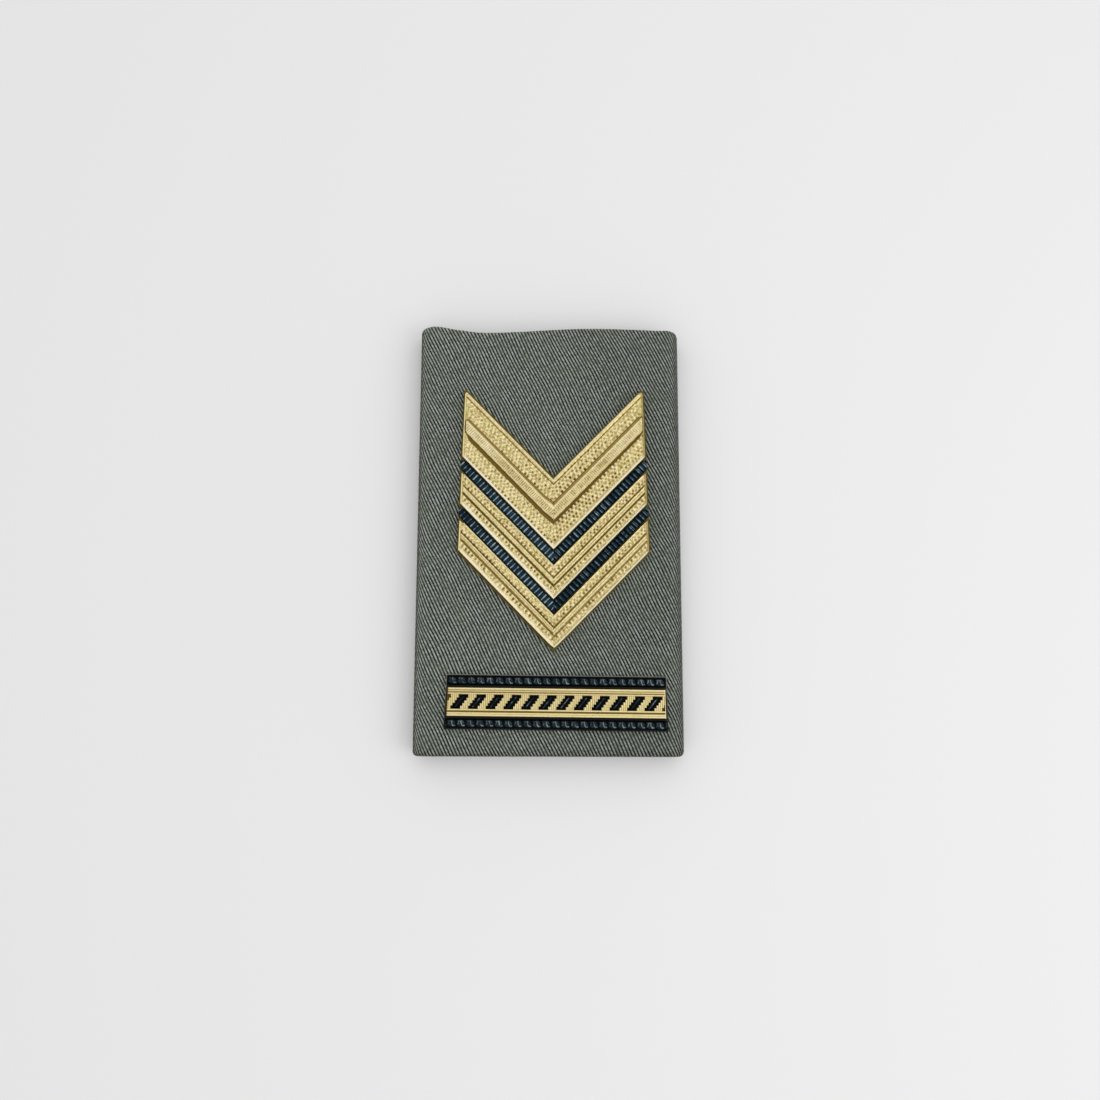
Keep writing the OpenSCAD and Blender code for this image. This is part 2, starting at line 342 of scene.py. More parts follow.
def make_ridge(
    name: str,
    top: Array,
    under: Array,
    fields: dict[str, Array],
    material: Material,
) -> Object:
    """Makes a closed solid from a relief face and the two edges of its underside.

    Args:
        name: Name of the piece.
        top: Points of the face in rows, from its upper edge down.
        under: Points of the underside below the first and the last row.
        fields: Values on the face that the finish reads.
        material: The finish.

    Returns:
        The piece.
    """
    points = np.concatenate([under[:1], top, under[1:]])
    rows, columns = points.shape[:2]
    faces = grid_faces(rows, columns, True, False)[:, ::-1].tolist()
    faces.append([r * columns for r in range(rows - 1, -1, -1)])
    faces.append([r * columns + columns - 1 for r in range(rows)])
    padded = {key: np.concatenate([f[:1], f, f[-1:]]).ravel() for key, f in fields.items()}
    return make_piece(name, points.reshape(-1, 3), faces, material, padded)


@dataclass(frozen=True)
class UniformTwill:
    """Steep wool and polyester twill, woven grey over a near-black ground.

    The eye gets pale ribs that break up into single threads, dark dots between
    them, softer patches where the nap is up, and almost no gloss.
    """

    rib_spacing: float
    # A yarn shows for about 0.3 mm at a time, and is drawn this much longer to show in the render
    thread_mm: float = 0.5
    dot_mm: float = 0.42
    patch_mm: float = 3.4
    bright_thread: str = "b5bab2"
    dull_thread: str = "868d83"
    ground: str = "0b0f0b"
    lit_ground: str = "373e37"
    nap: str = "5d655c"
    cool: str = "f6efff"
    warm: str = "f6ffec"
    # Brown tint that also stands for painted shade along the lower hem and the left fold
    stain_and_shade: str = "6b5c38"
    roughness: float = 0.9
    specular: float = 0.15
    sheen: float = 0.08
    sheen_roughness: float = 0.5
    relief_mm: float = 0.1
    relief_strength: float = 0.7
    thread_height: float = 0.35

    # Where a pattern's value starts and ends to count
    thread_limits: tuple[float, float] = (0.36, 0.64)
    dot_limits: tuple[float, float] = (0.47, 0.6)
    rib_limits: tuple[float, float] = (0.26, 0.8)
    nap_limits: tuple[float, float] = (0.42, 0.75)
    most_nap: float = 0.4

    def build(self) -> Material:
        """Makes the twill's material.

        Returns:
            A material that reads weave_mm, stain and shade from the mesh.
        """
        material, tree = new_material("uniform_twill")
        place, stain_and_shade, shade = (
            add_node(tree, "ShaderNodeAttribute", {"attribute_name": name})
            for name in ("weave_mm", "stain_and_shade", "shade")
        )
        split = add_node(tree, "ShaderNodeSeparateXYZ", None, {0: place.outputs["Vector"]})
        ratio = {0: split.outputs["X"], 1: self.rib_spacing}
        across = add_node(tree, "ShaderNodeMath", {"operation": "DIVIDE"}, ratio).outputs[0]
        rib = self._wave(tree, across)
        thread = self._run(tree, across, split.outputs["Y"], 0.0, self.thread_mm, self.thread_limits)
        dots = self._run(tree, across, split.outputs["Y"], 0.5, self.dot_mm, self.dot_limits)
        scaled = {"Vector": place.outputs["Vector"], "Scale": 1 / self.patch_mm, "Detail": 2.0}
        patch = add_node(tree, "ShaderNodeTexNoise", None, scaled).outputs["Fac"]
        limits = {0: rib, 1: self.rib_limits[0], 2: self.rib_limits[1]}
        lit = add_node(tree, "ShaderNodeMapRange", EASED, limits).outputs[0]
        limits = {0: patch, 1: self.nap_limits[0], 2: self.nap_limits[1], 4: self.most_nap}
        napped = add_node(tree, "ShaderNodeMapRange", None, limits).outputs[0]
        pairs = (
            (thread, self.dull_thread, self.bright_thread),
            (dots, self.ground, self.lit_ground),
            (patch, self.cool, self.warm),
        )
        thread_tone, tone, hue = (
            add_node(tree, "ShaderNodeMix", MIX, {0: share, 6: linear(low), 7: linear(high)}).outputs[2]
            for share, low, high in pairs
        )
        layers = (
            (MIX, lit, thread_tone),
            (MIX, napped, linear(self.nap)),
            (TINT, 1.0, hue),
            # Brown tint with painted shade along the lower hem and the left fold
            (TINT, stain_and_shade.outputs["Fac"], linear(self.stain_and_shade)),
            # Painted shade: mixes towards the dark ground colour
            (MIX, shade.outputs["Fac"], linear(self.ground)),
        )
        for blend, share, colour in layers:
            tone = add_node(tree, "ShaderNodeMix", blend, {0: share, 6: tone, 7: colour}).outputs[2]
        raised = {0: thread, 1: self.thread_height, 2: rib}
        height = add_node(tree, "ShaderNodeMath", SCALE_AND_ADD, raised).outputs[0]
        depth = {"Strength": self.relief_strength, "Distance": self.relief_mm * MM, "Height": height}
        finish_material(
            tree,
            {
                "Base Color": tone,
                "Roughness": self.roughness,
                "Sheen Weight": self.sheen,
                "Sheen Roughness": self.sheen_roughness,
                "Specular IOR Level": self.specular,
                "Normal": add_node(tree, "ShaderNodeBump", None, depth).outputs[0],
            },
        )
        return material

    @staticmethod
    def _wave(tree: NodeTree, turns: NodeSocket) -> NodeSocket:
        """A wave from 0 to 1 that peaks where turns is a whole number and a half.

        Args:
            tree: The node tree.
            turns: Number of turns of the wave.

        Returns:
            The socket with the wave.
        """
        turned = {0: turns, 1: math.tau, 2: math.pi}
        angle = add_node(tree, "ShaderNodeMath", SCALE_AND_ADD, turned).outputs[0]
        wave = add_node(tree, "ShaderNodeMath", {"operation": "COSINE"}, {0: angle}).outputs[0]
        return add_node(tree, "ShaderNodeMath", SCALE_AND_ADD, {0: wave, 1: 0.5, 2: 0.5}).outputs[0]

    @staticmethod
    def _run(
        tree: NodeTree,
        across: NodeSocket,
        along: NodeSocket,
        shift: float,
        length: float,
        limits: tuple[float, float],
    ) -> NodeSocket:
        """An irregular run of marks along each rib or each gap.

        Args:
            tree: The node tree.
            across: Place across the ribs, in ribs.
            along: Place along the ribs in millimetres.
            shift: 0 for the ribs, a half for the gaps between them.
            length: Length of a mark.
            limits: Noise values that become 0 and 1.

        Returns:
            The socket with values from 0 to 1.
        """
        # Each rib reads the noise far enough from the next one to look unlike it
        rib_apart, shift_apart = 3.7, 20
        shifted = add_node(tree, "ShaderNodeMath", {"operation": "ADD"}, {0: across, 1: shift}).outputs[0]
        number = add_node(tree, "ShaderNodeMath", {"operation": "FLOOR"}, {0: shifted}).outputs[0]
        ways = (("MULTIPLY", number, rib_apart), ("DIVIDE", along, length))
        apart, run = (
            add_node(tree, "ShaderNodeMath", {"operation": way}, {0: value, 1: by}).outputs[0]
            for way, value, by in ways
        )
        place = add_node(tree, "ShaderNodeCombineXYZ", None, {0: apart, 1: run, 2: shift * shift_apart})
        inputs = {"Vector": place.outputs[0], "Scale": 1.0, "Detail": 1.0}
        noise = add_node(tree, "ShaderNodeTexNoise", None, inputs).outputs["Fac"]
        span = {0: noise, 1: limits[0], 2: limits[1]}
        return add_node(tree, "ShaderNodeMapRange", EASED, span).outputs[0]


@dataclass(frozen=True)
class SatinGilt:
    """Struck brass with a pale satin gilt wash.

    The eye gets a soft straw-yellow metal that drifts towards olive and towards
    pink, painted ochre shade in the struck pits and grooves, painted yellow highlights
    on the beads and nearly white rims, partly polished by handling and partly painted highlight.
    """

    name: str = "satin_gilt_brass"
    field: str = "d3c38d"
    olive: str = "c0b872"
    rose: str = "d9be90"
    # Painted shade in the hollows, then deeper painted shade in the pits
    ochre: str = "957b34"
    pit: str = "4a3808"
    # Painted highlights: yellow gleams, and nearly white on the rims
    gleam: str = "f5e6ae"
    rim: str = "f0e9d2"
    roughness: float = 0.42
    dirt_roughness: float = 0.3
    polish_roughness: float = -0.1
    metallic: float = 0.8
    patch_mm: float = 2.2
    # The grain of a satin wash is finer than 0.1 mm, and is drawn this coarse to show in the render
    grain_mm: float = 0.3
    grain_depth_mm: float = 0.02
    grain_strength: float = 0.5
    grime_limits: tuple[float, float] = (0.56, 0.76)
    most_grime: float = 0.3

    def build(self) -> Material:
        """Makes the gilt material.

        Returns:
            A material that reads from the mesh the cavity, painted as shade in the hollows, and the polish,
            which is partly painted highlight.
        """
        material, tree = new_material(self.name)
        place = add_node(tree, "ShaderNodeTexCoord").outputs["Object"]
        noises = (
            {"Vector": place, "Scale": 1 / (size * MM), "Detail": detail}
            for size, detail in ((self.patch_mm, 3.0), (self.grain_mm, 2.0))
        )
        patch, grain = (add_node(tree, "ShaderNodeTexNoise", None, n).outputs["Fac"] for n in noises)
        polish_and_highlight, cavity = (
            add_node(tree, "ShaderNodeAttribute", {"attribute_name": name}).outputs["Fac"]
            for name in ("polish_and_highlight", "cavity")
        )
        limits = {0: grain, 1: self.grime_limits[0], 2: self.grime_limits[1], 4: self.most_grime}
        grime = add_node(tree, "ShaderNodeMapRange", None, limits).outputs[0]
        # Painted shade from the cavity field, with real grime from the noise
        dirt_and_shade = add_node(tree, "ShaderNodeMath", {"operation": "MAXIMUM"}, {0: cavity, 1: grime}).outputs[0]
        # Each layer of colour: what brings it up, from and to which value, how much of it, the colour
        layers = (
            (patch, 0.5, 0.68, 1.0, self.olive),
            (patch, 0.45, 0.32, 0.7, self.rose),
            # Painted highlight, with some real polish on the rims
            (polish_and_highlight, 0.0, 0.5, 1.0, self.gleam),
            (polish_and_highlight, 0.5, 1.0, 1.0, self.rim),
            # Painted shade in the hollows, and the grime
            (dirt_and_shade, 0.0, 0.55, 1.0, self.ochre),
            (dirt_and_shade, 0.45, 1.0, 1.0, self.pit),
        )
        tone = linear(self.field)
        for value, first, last, most, colour in layers:
            limits = {0: value, 1: first, 2: last, 4: most}
            share = add_node(tree, "ShaderNodeMapRange", None, limits).outputs[0]
            tone = add_node(tree, "ShaderNodeMix", MIX, {0: share, 6: tone, 7: linear(colour)}).outputs[2]
        gloss = self.roughness
        for value, change in ((dirt_and_shade, self.dirt_roughness), (polish_and_highlight, self.polish_roughness)):
            changed = {0: value, 1: change, 2: gloss}
            gloss = add_node(tree, "ShaderNodeMath", SCALE_AND_ADD, changed).outputs[0]
        depth = {"Strength": self.grain_strength, "Distance": self.grain_depth_mm * MM, "Height": grain}
        finish_material(
            tree,
            {
                "Base Color": tone,
                "Metallic": self.metallic,
                "Roughness": gloss,
                "Normal": add_node(tree, "ShaderNodeBump", None, depth).outputs[0],
            },
        )
        return material


@dataclass(frozen=True)
class BlueBlackEnamel:
    """Blue-black stoving enamel over ribbed metal, with painted slate-blue highlights on the ribs.

    The eye gets black hollows, navy painted highlight on the slopes and thin pale slate-blue painted
    highlights on the crests.
    """

    name: str = "blue_black_enamel"
    hollow: str = "020405"
    # Painted highlight: navy on the slopes, pale slate blue on the crests
    slope: str = "1f3846"
    crest_highlight: str = "a6bac0"
    roughness: float = 0.38
    specular: float = 0.04
    cloud_mm: float = 0.7
    cloud_limits: tuple[float, float] = (0.3, 0.65)
    least_cloud: float = 0.45

    def build(self) -> Material:
        """Makes the enamel's material.

        Returns:
            A material that reads the crests' painted highlight from the mesh.
        """
        material, tree = new_material(self.name)
        crest_highlight = add_node(tree, "ShaderNodeAttribute", {"attribute_name": "crest_highlight"}).outputs["Fac"]
        place = add_node(tree, "ShaderNodeTexCoord").outputs["Object"]
        scaled = {"Vector": place, "Scale": 1 / (self.cloud_mm * MM), "Detail": 2.0}
        cloud = add_node(tree, "ShaderNodeTexNoise", None, scaled).outputs["Fac"]
        limits = {0: cloud, 1: self.cloud_limits[0], 2: self.cloud_limits[1], 3: self.least_cloud}
        clouded = add_node(tree, "ShaderNodeMapRange", None, limits).outputs[0]
        # Painted highlight on the crests, broken up by the cloud noise
        painted_highlight = add_node(tree, "ShaderNodeMath", {"operation": "MULTIPLY"}, {0: crest_highlight, 1: clouded}).outputs[0]
        tone = linear(self.hollow)
        for first, last, colour in ((0.0, 0.3, self.slope), (0.3, 0.95, self.crest_highlight)):
            share = add_node(tree, "ShaderNodeMapRange", None, {0: painted_highlight, 1: first, 2: last}).outputs[0]
            tone = add_node(tree, "ShaderNodeMix", MIX, {0: share, 6: tone, 7: linear(colour)}).outputs[2]
        inputs = {"Base Color": tone, "Roughness": self.roughness, "Specular IOR Level": self.specular}
        finish_material(tree, inputs)
        return material


@dataclass
class ClothTube:
    """The flat tube of twill, with its ribs, hems, folds and the soft left roll."""

    width: float = 60.8
    length: float = 98.3
    thickness: float = 6.8
    wall: float = 1.2
    back_short: float = 0.8
    centre_y: float = CENTRE_Y
    roll_height: float = 0.45
    roll_x: float = -26.66
    roll_spread: float = 1.9
    left_corner: float = 0.5
    right_corner: float = 0.8
    # Below 1, so that no corner's curve stands quite upright
    corner_share: float = 0.98
    rib_count: int = 167
    rib_turns: float = 64.5
    samples: int = 6
    rows: int = 70
    inner_rows: int = 7
    lip_steps: int = 4
    rib_height: float = 0.17
    # Below 1 the ribs are fuller than a plain wave
    rib_power: float = 0.8
    seat_drop: float = 0.01

    # Front hem at the collar end: place across the slide, how far it stands out
    hem: Table = (
        (-30.4, 0.95), (-27.5, 1.1), (-15, -0.35), (10, 0.7), (27.5, 0.33), (30.4, 0.1),
    )
    # How high the roll is: share of the length from the lower hem, share of its height
    roll_share: Table = ((0, 0.75), (0.5, 0.7), (0.85, 1), (1, 1.15))
    # Shallow dents: depth, place across, spread, between which shares of the length they come
    dents: Table = (
        (0.32, -22.66, 1.7, 0.5, 0.95), (0.25, 25.5, 2.2, 0.8, 1.0),
    )
    # Brown tint with painted shade where the cloth turns away: how much, and between which distances from
    # the lower hem and the left fold it goes
    hem_stain_and_shade: tuple[float, float, float] = (0.55, 0.1, 1.1)
    fold_stain_and_shade: tuple[float, float, float] = (0.85, 0.1, 1.0)
    # Painted shade: how much, and between which places it comes, from the right edge, across and along
    fold_shade: tuple[float, float, float] = (0.5, -2.4, -0.4)
    right_shade: tuple[float, float, float] = (0.12, -5.0, 24.0)
    low_shade: tuple[float, float, float] = (0.05, -46.0, -30.0)
    # Slow waves of the ribs: height, length along the tube, waves round it, start
    drifts: Table = (
        (0.16, 37.0, 2, 0.0), (0.1, 17.0, -3, 1.1), (0.05, 9.0, 7, 2.3),
    )

    @property
    def fold_radius(self) -> float:
        """Radius of the side folds, outside."""
        return self.thickness / 2

    @property
    def half_panel(self) -> float:
        """Half width of the flat front and back panels."""
        return self.width / 2 - self.fold_radius

    @property
    def girth(self) -> float:
        """Length once round the outside of the tube."""
        return 4 * self.half_panel + math.tau * self.fold_radius

    @property
    def rib_spacing(self) -> float:
        """Distance from rib to rib, measured round the tube."""
        return self.girth / self.rib_count

    @property
    def slant(self) -> float:
        """How far a rib moves round the tube for every millimetre along it."""
        return self.rib_turns * self.rib_spacing / self.length

    def _eased(self, rows: Table, x: Array) -> Array:
        """Reads a short table with eased steps between its rows.

        Args:
            rows: Pairs of place and value, in rising order of place.
            x: Places to read.

        Returns:
            The value at each place.
        """
        value = np.full_like(x, rows[0][1])
        for (x0, v0), (x1, v1) in zip(rows, rows[1:]):
            value = value + (v1 - v0) * smooth_step(x0, x1, x)
        return value

    def _outline(self, around: Array) -> tuple[Array, Array, Array, Array]:
        """Follows the tube's outline.

        Args:
            around: Distance round the outside from the middle of the front.

        Returns:
            Place across, height, and the outward direction's two parts.
        """
        wrapped = (around + self.girth / 2) % self.girth - self.girth / 2
        side = np.where(wrapped < 0, -1.0, 1.0)
        run = np.abs(wrapped)
        turn = np.clip((run - self.half_panel) / self.fold_radius, 0, math.pi)
        back = np.clip(run - self.half_panel - math.pi * self.fold_radius, 0, None)
        flat = np.minimum(run, self.half_panel)
        x = flat - back + self.fold_radius * np.sin(turn)
        z = self.fold_radius * (1 + np.cos(turn))
        return side * x, z, side * np.sin(turn), np.cos(turn)

    def _hems(self, x: Array, z: Array) -> tuple[Array, Array]:
        """Finds the two ends of the tube.

        Args:
            x: Place across, outside.
            z: Height, outside.

        Returns:
            The lower and the upper end along the tube.
        """
        radius = np.where(x < 0, self.left_corner, self.right_corner)
        share = np.clip((np.abs(x) - (self.width / 2 - radius)) / radius, 0, 1)
        drop = radius * (1 - np.sqrt(1 - share**2 * self.corner_share))
        trim = drop + self.back_short * (1 - np.clip(2 * z / self.thickness, 0, 1))
        return -self.length / 2 + trim, self.length / 2 + self._eased(self.hem, x) - trim

    def _lift(self, x: Array, z: Array, share: Array) -> Array:
        """How far the front cloth stands up from its flat place.

        Args:
            x: Place across.
            z: Height of the flat tube there.
            share: Share of the length from the lower hem.

        Returns:
            The rise in millimetres.
        """
        along_roll = self.roll_height * self._eased(self.roll_share, share)
        rise = along_roll * bump_at(x, self.roll_x, self.roll_spread)
        for depth, at, spread, first, last in self.dents:
            rise = rise - depth * bump_at(x, at, spread) * smooth_step(first, last, share)
        return rise * np.clip(2 * z / self.thickness - 1, 0, 1)

    def _drift(self, around: Array, y: Array) -> Array:
        """How far the ribs wander sideways, the same on both ends of the girth.

        Args:
            around: Distance round the outside.
            y: Distance along the tube.

        Returns:
            The shift in millimetres.
        """
        turn = math.tau * around / self.girth
        return sum(
            height * np.sin(math.tau * y / length + waves * turn + start)
            for height, length, waves, start in self.drifts
        )

    def _ring(
        self, share: float, depth: float, end: float, rib: float, shift: float
    ) -> tuple[Array, Array]:
        """Places one ring of points round the tube.

        Args:
            share: Share of the length from the lower hem.
            depth: Depth into the cloth from its outer face.
            end: How far the ring stands in from the hem line.
            rib: Share of the rib height that is raised.
            shift: How far the ring's points are moved round the tube.

        Returns:
            Points, and for each its place across the ribs and along the tube.
        """
        columns = self.rib_count * self.samples
        start = self.girth / 2 + np.arange(columns) * self.rib_spacing / self.samples + shift
        y = np.full(columns, (share - 0.5) * self.length)
        # The hem depends on the place round the tube, and that place on the hem
        rounds = 4
        for _ in range(rounds):
            straight = start - self.slant * y
            around = straight + self._drift(straight, y)
            x, z, nx, nz = self._outline(around)
            low, high = self._hems(x, z)
            y = low + end + (high - low - 2 * end) * share
        crown = 0.5 - 0.5 * np.cos(math.tau * start / self.rib_spacing)
        out = self.rib_height * (crown**self.rib_power - 1) * rib - self.seat_drop - depth
        lift = self._lift(x, z, np.full(columns, share))
        points = np.stack([x + nx * out, y + self.centre_y, z + nz * out + lift], axis=-1)
        return points, np.stack([start, y, np.zeros(columns)], axis=-1)

    def build(self, cloth: Material) -> Object:
        """Args:
            cloth: The twill's material.

        Returns:
            The tube.
        """
        columns = self.rib_count * self.samples
        lip = self.wall / 2
        turns = [math.pi * k / self.lip_steps for k in range(1, self.lip_steps)]
        twist = -self.rib_turns * self.rib_spacing
        rings = [self._ring(share, 0, lip, 1, 0) for share in np.linspace(0, 1, self.rows)]
        for a in turns:
            stand_in = lip * (1 - math.sin(a))
            rings.append(self._ring(1, lip * (1 - math.cos(a)), stand_in, math.cos(a / 2), 0))
        # The inner face is plain and its points run straight along the tube
        for share in np.linspace(1, 0, self.inner_rows + 1):
            rings.append(self._ring(share, self.wall, lip, 0, twist * (1 - share)))
        for a in turns:
            stand_in = lip * (1 - math.sin(a))
            rings.append(self._ring(0, lip * (1 + math.cos(a)), stand_in, math.sin(a / 2), twist))
        points = np.concatenate([p for p, _ in rings])
        faces = grid_faces(len(rings), columns, False, True)
        # The last ring meets the first one turned by the twist
        i = np.arange(columns)
        last = (len(rings) - 1) * columns
        turned = round(self.rib_turns * self.samples)
        seam = [last + i, last + (i + 1) % columns, (i + 1 - turned) % columns, (i - turned) % columns]
        tube = make_piece(
            "twill_sleeve",
            points,
            np.concatenate([faces, np.stack(seam, axis=-1)]).tolist(),
            cloth,
            {
                "weave_mm": np.concatenate([w for _, w in rings]),
                # Brown tint with painted shade along the lower hem and the left fold
                "stain_and_shade": self._stain_and_shade(points),
                # Painted shade towards the right, the lower end and the right fold
                "shade": self._shade(points),
            },
            sharp_deg=75,
        )
        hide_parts("sleeve")
        return tube

    def _stain_and_shade(self, points: Array) -> Array:
        """How browned and darkened the cloth is painted along the lower hem and the left fold: a brown tint
        with painted shade where the cloth turns away.

        Args:
            points: Points of the cloth.

        Returns:
            Values from 0 to 1.
        """
        hem, hem_from, hem_to = self.hem_stain_and_shade
        fold, fold_from, fold_to = self.fold_stain_and_shade
        at_hem = 1 - smooth_step(hem_from, hem_to, points[:, 1] - points[:, 1].min())
        at_fold = 1 - smooth_step(fold_from, fold_to, points[:, 0] + self.width / 2)
        return np.maximum(hem * at_hem, fold * at_fold)

    def _shade(self, points: Array) -> Array:
        """Painted shade: how much darker the cloth is painted towards the right, towards the lower end and
        on the tight turn of the right fold.

        Args:
            points: Points of the cloth.

        Returns:
            Values from 0 to 1.
        """
        fold, fold_from, fold_to = self.fold_shade
        right, right_from, right_to = self.right_shade
        low, low_from, low_to = self.low_shade
        edge = self.width / 2
        turned = smooth_step(edge + fold_from, edge + fold_to, points[:, 0])
        broad = right * smooth_step(right_from, right_to, points[:, 0])
        broad = broad + low * (1 - smooth_step(low_from, low_to, points[:, 1]))
        front = smooth_step(0, self.fold_radius, points[:, 2])
        return (fold * turned + broad * (1 - turned)) * front


@dataclass(frozen=True)
class PitRow:
    """A row of small struck pits that runs along an arm of the badge, with beads between them."""

    at: float
    strength: float = 1.0
    shift: float = 0.0
    beads: float = 0.6
    along: float = 0.26
    across: float = 0.27
    pitch: float = 1.065
    wander_along: float = 0.24
    wander_across: float = 0.22
    faintest: float = 0.5
    unevenness: float = 0.6

    def pits(self, u: Array, v: Array) -> Array:
        """How deep in a pit each place is, from 0 to 1."""
        return self._marks(u, v, 0.0, self.strength)

    def raised(self, u: Array, v: Array) -> Array:
        """How high on a bead each place is, from 0 to 1."""
        return self._marks(u, v, 0.5, self.beads)

    def _marks(self, u: Array, v: Array, offset: float, strength: float) -> Array:
        """A row of soft round marks of uneven strength.

        Args:
            u: Distance along the arm.
            v: Distance across the arm from the chevron's upper edge.
            offset: How far the marks are moved along the row, in pitches.
            strength: The strongest mark.

        Returns:
            Values from 0, between marks, to 1, in the middle of one.
        """
        turns = u / self.pitch + self.shift + offset
        number = np.round(turns)
        row = np.full_like(number, round(self.at * 10 + offset * 10))
        du = (turns - number + self.wander_along * (scatter(number, row) - 0.5)) * self.pitch
        dv = v - self.at + self.wander_across * (scatter(number, row + 17) - 0.5)
        depth = strength * (self.faintest + self.unevenness * scatter(number, row + 31))
        return depth * np.exp(-((du / self.along) ** 2) - (dv / self.across) ** 2)


@dataclass(frozen=True, kw_only=True)
class ArmLines:
    """Where the lines of a chevron lie on one arm, measured across it, and how they look, with painted shade
    in the grooves and on the rims and painted highlights on the rims.
    """

    upper_groove: float
    upper_half: float
    upper_dark: float
    lower_groove: float
    lower_half: float
    upper_bevel: float
    rim_shade: float
    upper_highlight: float
    lower_rim: float
    lower_highlight: float
    rows: tuple[PitRow, ...]
    trim: float = 0.0


@dataclass(frozen=True, kw_only=True)
class WideLines(ArmLines):
    """The lines of the top chevron, with its raised band, painted shade on the band's lower edge and painted
    highlight on the band.
    """

    band_edge_shade: float
    ribs_from: float
    ribs_to: float
    band_end: float
    band_corner: float
    plain_band_highlight: float
    band_warmth: float
    edge_drop: float
    rim_line: float


@dataclass(frozen=True, kw_only=True)
class NarrowLines(ArmLines):
    """The lines of a lower chevron, with its raised double line."""

    lower_dark: float
    ridges: tuple[float, float]


WIDE_LINES = {
    Arm.LEFT: WideLines(
        upper_groove=4.58, upper_half=0.22, upper_dark=0.46, lower_groove=7.38, lower_half=0.37,
        band_edge_shade=0.0, upper_bevel=0.3, rim_shade=0.06, ribs_from=5.3, ribs_to=6.7, band_end=0.55,
        band_corner=0.5, plain_band_highlight=0.16, band_warmth=0.12, edge_drop=0.14, rim_line=0.72,
        upper_highlight=0.14, lower_rim=0.56, lower_highlight=0.92,
        rows=(
            PitRow(1.1, 0.85, 0.4, beads=0.2, along=0.3, across=0.16),
            PitRow(1.65, 0.5, 0.4),
            PitRow(2.45, 0.75, -0.1),
            PitRow(3.15, 0.45, 0.4),
            PitRow(4.02, 0.85, -0.1, across=0.32),
            PitRow(8.4, 0.65, 0.05, beads=0.9),
            PitRow(9.07, 0.55, 0.55, beads=0.9),
            PitRow(9.75, 0.45, 0.05, beads=0.8),
            PitRow(10.7, 0.85, 0.5, across=0.24),
        ),
    ),
    Arm.RIGHT: WideLines(
        upper_groove=4.2, upper_half=0.27, upper_dark=0.46, lower_groove=7.14, lower_half=0.24,
        band_edge_shade=0.22, upper_bevel=0.12, rim_shade=0.08, ribs_from=4.9, ribs_to=6.3, band_end=0.4,
        band_corner=0.25, plain_band_highlight=0.0, band_warmth=0.03, edge_drop=0.05, rim_line=0.66,
        upper_highlight=0.2, lower_rim=0.5, lower_highlight=0.85,
        rows=(
            PitRow(1.02, 0.9, 0.5, beads=0.3, along=0.28, across=0.16),
            PitRow(1.72, 0.75, 0.0, beads=0.8),
            PitRow(2.5, 1.0, 0.5, beads=0.8),
            PitRow(3.55, 1.0, -0.1, beads=0.9, across=0.38),
            PitRow(7.65, 1.0, -0.08, beads=1.0, across=0.34),
            PitRow(8.5, 0.8, 0.45, beads=0.9),
            PitRow(9.3, 1.0, 0.05, beads=0.9),
            PitRow(10.1, 1.0, 0.52, beads=0.8, across=0.3),
            PitRow(10.6, 0.45, 0.0, beads=0.0, along=0.5, across=0.2),
        ),
    ),
}
NARROW_LINES = {
    (Place.MIDDLE, Arm.LEFT): NarrowLines(
        upper_groove=2.1, upper_half=0.12, upper_dark=0.44, lower_groove=3.4, lower_half=0.17,
        lower_dark=0.68, ridges=(2.48, 2.88), upper_bevel=0.14, rim_shade=0.04, upper_highlight=0.6,
        lower_rim=0.66, lower_highlight=0.9,
        rows=(
            PitRow(0.8, 0.85, 0.0, beads=0.5, across=0.2),
            PitRow(1.74, 0.9, 0.48, beads=0.8, across=0.32, pitch=1.03),
            PitRow(4.2, 0.95, -0.1, beads=0.9, across=0.3, pitch=1.042),
        ),
    ),
    (Place.MIDDLE, Arm.RIGHT): NarrowLines(
        upper_groove=2.08, upper_half=0.14, upper_dark=0.56, lower_groove=3.46, lower_half=0.14,
        lower_dark=0.64, ridges=(2.5, 3.02), upper_bevel=0.24, rim_shade=0.06, upper_highlight=0.5,
        lower_rim=0.36, lower_highlight=0.95,
        rows=(
            PitRow(1.0, 0.8, 0.0, beads=0.7, pitch=1.05),
            PitRow(1.56, 0.9, 0.5, beads=1.0, across=0.34, pitch=1.05),
            PitRow(4.16, 0.95, 0.15, beads=0.9, across=0.34, pitch=1.05),
            PitRow(4.9, 0.35, 0.5, beads=0.0, along=0.5, across=0.2, pitch=1.05),
        ),
    ),
    (Place.LOWER, Arm.LEFT): NarrowLines(
        upper_groove=2.0, upper_half=0.14, upper_dark=0.54, lower_groove=3.22, lower_half=0.15,
        lower_dark=0.46, ridges=(2.34, 2.7), upper_bevel=0.08, rim_shade=0.04, trim=0.17,
        upper_highlight=0.35, lower_rim=0.85, lower_highlight=0.75,
        rows=(
            PitRow(0.8, 0.3, 0.0, beads=0.6, across=0.2),
            PitRow(1.76, 0.95, 0.48, beads=0.8, across=0.3, pitch=1.03),
            PitRow(3.98, 0.95, -0.1, beads=0.9, across=0.34, pitch=1.042),
        ),
    ),
    (Place.LOWER, Arm.RIGHT): NarrowLines(
        upper_groove=2.16, upper_half=0.15, upper_dark=0.5, lower_groove=3.52, lower_half=0.13,
        lower_dark=0.32, ridges=(2.58, 3.04), upper_bevel=0.34, rim_shade=0.06, upper_highlight=0.55,
        lower_rim=0.36, lower_highlight=0.95,
        rows=(
            PitRow(0.95, 0.6, 0.0, beads=0.7, pitch=1.05),
            PitRow(1.5, 0.9, 0.5, beads=1.0, across=0.3, pitch=1.05),
            PitRow(4.06, 0.95, 0.15, beads=0.9, across=0.34, pitch=1.05),
            PitRow(4.85, 0.4, 0.5, beads=0.0, along=0.5, across=0.2, pitch=1.05),
        ),
    ),
}


